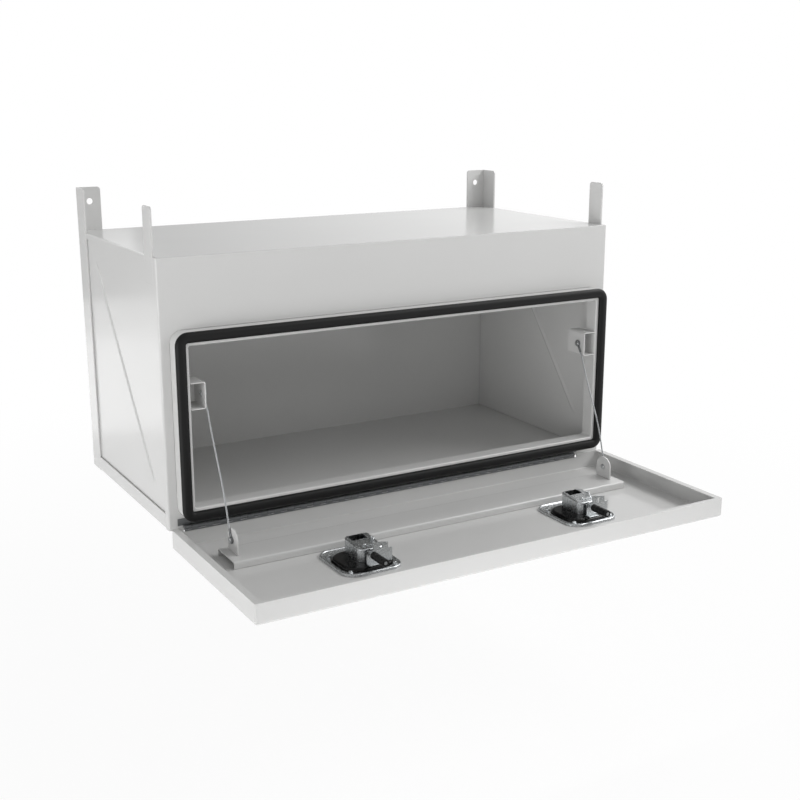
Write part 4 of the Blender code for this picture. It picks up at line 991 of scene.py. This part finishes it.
both_latches((shape_sleeve, "bolt_sleeve_{}_moulded", "bolt_sleeve", {}))

# %% [markdown]
# The **T grip** folds flat into the dish and carries the key lock in its boss. It is a casting, so
# nothing on it is sharp: the stem and the bar are blocks with generous rounds, and the boss is
# turned with a bore for the plug.

# %% Grip
pivot_z, bar_reach = mm(-26.1), mm(29)
stem_half, stem_end, stem_thick, stem_round = mm(5), mm(3.5), mm(3.5), mm(1.6)
bar_half, bar_long, bar_thick, bar_round = mm(4.5), mm(23), mm(3.9), mm(2.8)
boss_profile = [(0, -0.2), (4.3, -0.2), (4.3, -4.5), (5.9, -4.5), (6.5, -3.9), (6.5, 3.9),
                (5.9, 4.5), (0, 4.5)]


def shape_grip(bm, x):
    bar_x = x - bar_reach
    soft_block(bm, (bar_x, latch_y - stem_half, pivot_z - stem_thick),
               (x + stem_end, latch_y + stem_half, pivot_z + stem_thick), stem_round, 4)
    soft_block(bm, (bar_x - bar_half, latch_y - bar_long, pivot_z - bar_thick),
               (bar_x + bar_half, latch_y + bar_long, pivot_z + bar_thick), bar_round, 5)
    boss = [(mm(radius), mm(height)) for radius, height in boss_profile]
    turned(bm, boss, (bar_x, latch_y, pivot_z), "z", 32)


both_latches((shape_grip, "latch_grip_{}_cast", "latch_grip", {}))

# %% [markdown]
# ## The plain sheet pieces
# The panels, posts, bars, brackets, ears and stiffener already have their right shapes. They only
# need soft edges, so each one left over gets a merged copy. A coated edge is rounder than a bare
# one, because the coat flows over it.

# %% Soften the rest
softened = [node for node in sorted(frame["nodes"]) if node not in finished]
for node in softened:
    edge = mm(0.5) if slot_of[node] == "powder_coat" else mm(0.3)
    finish_piece(f"{node}_fine", merged_copy(node), [node], edge=edge)
print("softened", len(softened), "pieces:", ", ".join(softened))

# %% [markdown]
# ## Camera, floor and light
# The camera stands where the photograph was taken from, to the left of the box and a little
# above it.

# %% Camera
camera_data = bpy.data.cameras.new("camera")
camera_data.lens = 54.63
camera_data.sensor_width = 36
camera = new_object("camera", camera_data)
camera.location = (-1.0838, -2.0640, 0.7332)
camera.rotation_euler = (math.radians(90 - 14.768), 0, math.radians(-30.173))
bpy.context.scene.camera = camera
print("camera", round(camera.location.length, 3), "m from the box's middle")

# %% [markdown]
# A pale **floor** lies some way below the box, which hangs in the air as it does under a truck.
# To the camera and in reflections it is nearly white and goes to full white further out, while
# what is left of its own shading takes the box's soft shadow. Its underside is clear, so that the
# box can also be looked at from below. That only works when its face points up, as the print
# confirms.

# %% Floor
floor_drop, floor_radius = 0.36, 3.4
floor_bm = bmesh.new()
bmesh.ops.create_circle(floor_bm, cap_ends=True, segments=128, radius=floor_radius)
bmesh.ops.translate(floor_bm, vec=(0, 0, -floor_drop), verts=floor_bm.verts)
floor_bm.normal_update()
bmesh.ops.reverse_faces(floor_bm, faces=[face for face in floor_bm.faces if face.normal.z < 0])
floor_bm.normal_update()
print("floor faces up:", all(face.normal.z > 0 for face in floor_bm.faces))
floor_mesh = bpy.data.meshes.new("studio_floor")
floor_bm.to_mesh(floor_mesh)
floor_bm.free()
floor = new_object("studio_floor", floor_mesh)
floor_look, _, floor_place = start_finish("white_studio_floor", 0.9, 0.0,
                                          Base_Color=linear("#f2f2f2"))
floor_nodes = floor_look.node_tree.nodes
away = add_node(floor_look, "ShaderNodeVectorMath", {}, {0: floor_place}, operation="LENGTH")
fade = add_node(floor_look, "ShaderNodeMapRange",
                {"From Min": 0.7, "From Max": 2.2, "To Min": 0.93, "To Max": 1.0},
                {"Value": away.outputs["Value"]}, interpolation_type="SMOOTHSTEP")
seen = add_node(floor_look, "ShaderNodeLightPath")
seen_white = add_node(floor_look, "ShaderNodeMath", {},
                      {0: seen.outputs["Is Camera Ray"], 1: seen.outputs["Is Glossy Ray"]},
                      operation="MAXIMUM")
share = add_node(floor_look, "ShaderNodeMath", {}, {0: seen_white, 1: fade},
                 operation="MULTIPLY")
glow = add_node(floor_look, "ShaderNodeEmission", {"Strength": 1.0})
mixed = add_node(floor_look, "ShaderNodeMixShader", {},
                 {0: share, 1: floor_nodes["Principled BSDF"], 2: glow})
side_seen = add_node(floor_look, "ShaderNodeNewGeometry")
clear = add_node(floor_look, "ShaderNodeBsdfTransparent")
add_node(floor_look, "ShaderNodeMixShader", {},
         {0: side_seen.outputs["Backfacing"], 1: mixed, 2: clear},
         floor_nodes["Material Output"].inputs["Surface"])
floor_mesh.materials.append(floor_look)

# %% [markdown]
# The **world** is the studio's walls. The camera sees them white. As light on the box they are
# dimmer, most of all overhead, which shades the inside of the box. In reflections they go from
# grey on the left to white on the right, so the glossy top panel and the bright metal show the
# same graded backdrop that the photograph has.

# %% World
world = bpy.data.worlds.new("studio")
bpy.context.scene.world = world
world.use_nodes = True
sky_glow = world.node_tree.nodes["Background"].inputs
sky_glow["Color"].default_value = (1, 1, 1, 1)
heading = add_node(world, "ShaderNodeTexCoord").outputs["Generated"]
heading = add_node(world, "ShaderNodeSeparateXYZ", {}, {"Vector": heading})
overhead = add_node(world, "ShaderNodeMapRange", {"To Min": 0.65, "To Max": 0.39},
                    {"Value": heading.outputs["Z"]})
rightward = add_node(world, "ShaderNodeMapRange",
                     {"From Min": 0.25, "From Max": 0.6, "To Min": 0.45, "To Max": 1.0},
                     {"Value": heading.outputs["X"]})
path = add_node(world, "ShaderNodeLightPath")
unseen = add_node(world, "ShaderNodeMix", {},
                  {0: path.outputs["Is Glossy Ray"], 2: overhead, 3: rightward})
add_node(world, "ShaderNodeMix", {3: 1.0},
         {0: path.outputs["Is Camera Ray"], 2: unseen}, sky_glow["Strength"])
print("world:", len(world.node_tree.nodes), "nodes")

# %% [markdown]
# Large soft **lamps** light a white object without hard edges. Two stand on the right, one behind
# keeps the back from going dark, and one stands low on the left, where it stays out of the
# opening. Of two small cards, one is mirrored in the lower half of the left side, and the other
# brightens the door's front edge from below. Powers are so low that the pale coat renders about
# as its colour is written and nothing clips to white.

# %% Lamps
centre = (0, -0.15, 0.2)


def area_light(name, place, aim, width, height, power):
    """A rectangular lamp that faces its aim and that the camera doesn't see."""
    data = bpy.data.lights.new(name, "AREA")
    data.shape = "RECTANGLE"
    data.size = width
    data.size_y = height
    data.energy = power
    lamp = new_object(name, data)
    lamp.location = place
    lamp.visible_camera = False
    lamp.rotation_euler = (Vector(aim) - Vector(place)).to_track_quat("-Z", "Y").to_euler()
    return lamp


area_light("right_high_softbox", (2.3, -1.5, 2.3), centre, 1.8, 1.4, 39)
area_light("right_near_softbox", (1.3, 0.1, 1.3), centre, 0.6, 0.6, 5.5)
area_light("rear_softbox", (-0.5, 2.8, 1.6), centre, 2.4, 1.5, 11)
area_light("left_low_softbox", (-2.5, -1.15, -0.05), centre, 1.2, 0.8, 20)
area_light("left_rear_card", (-0.95, 1.5, -0.12), (-0.6, 0, -0.12), 0.7, 0.42, 0.6)
area_light("door_edge_card", (0, -0.80, -0.30), (0, -0.57, -0.015), 0.95, 0.12, 1.1)
print("lamps:", ", ".join(lamp.name for lamp in bpy.data.lights))

# %% [markdown]
# The Standard view shows colours as they are written.

# %% Standard view
bpy.context.scene.view_settings.view_transform = "Standard"
print("measured pieces dressed:", len(finished))
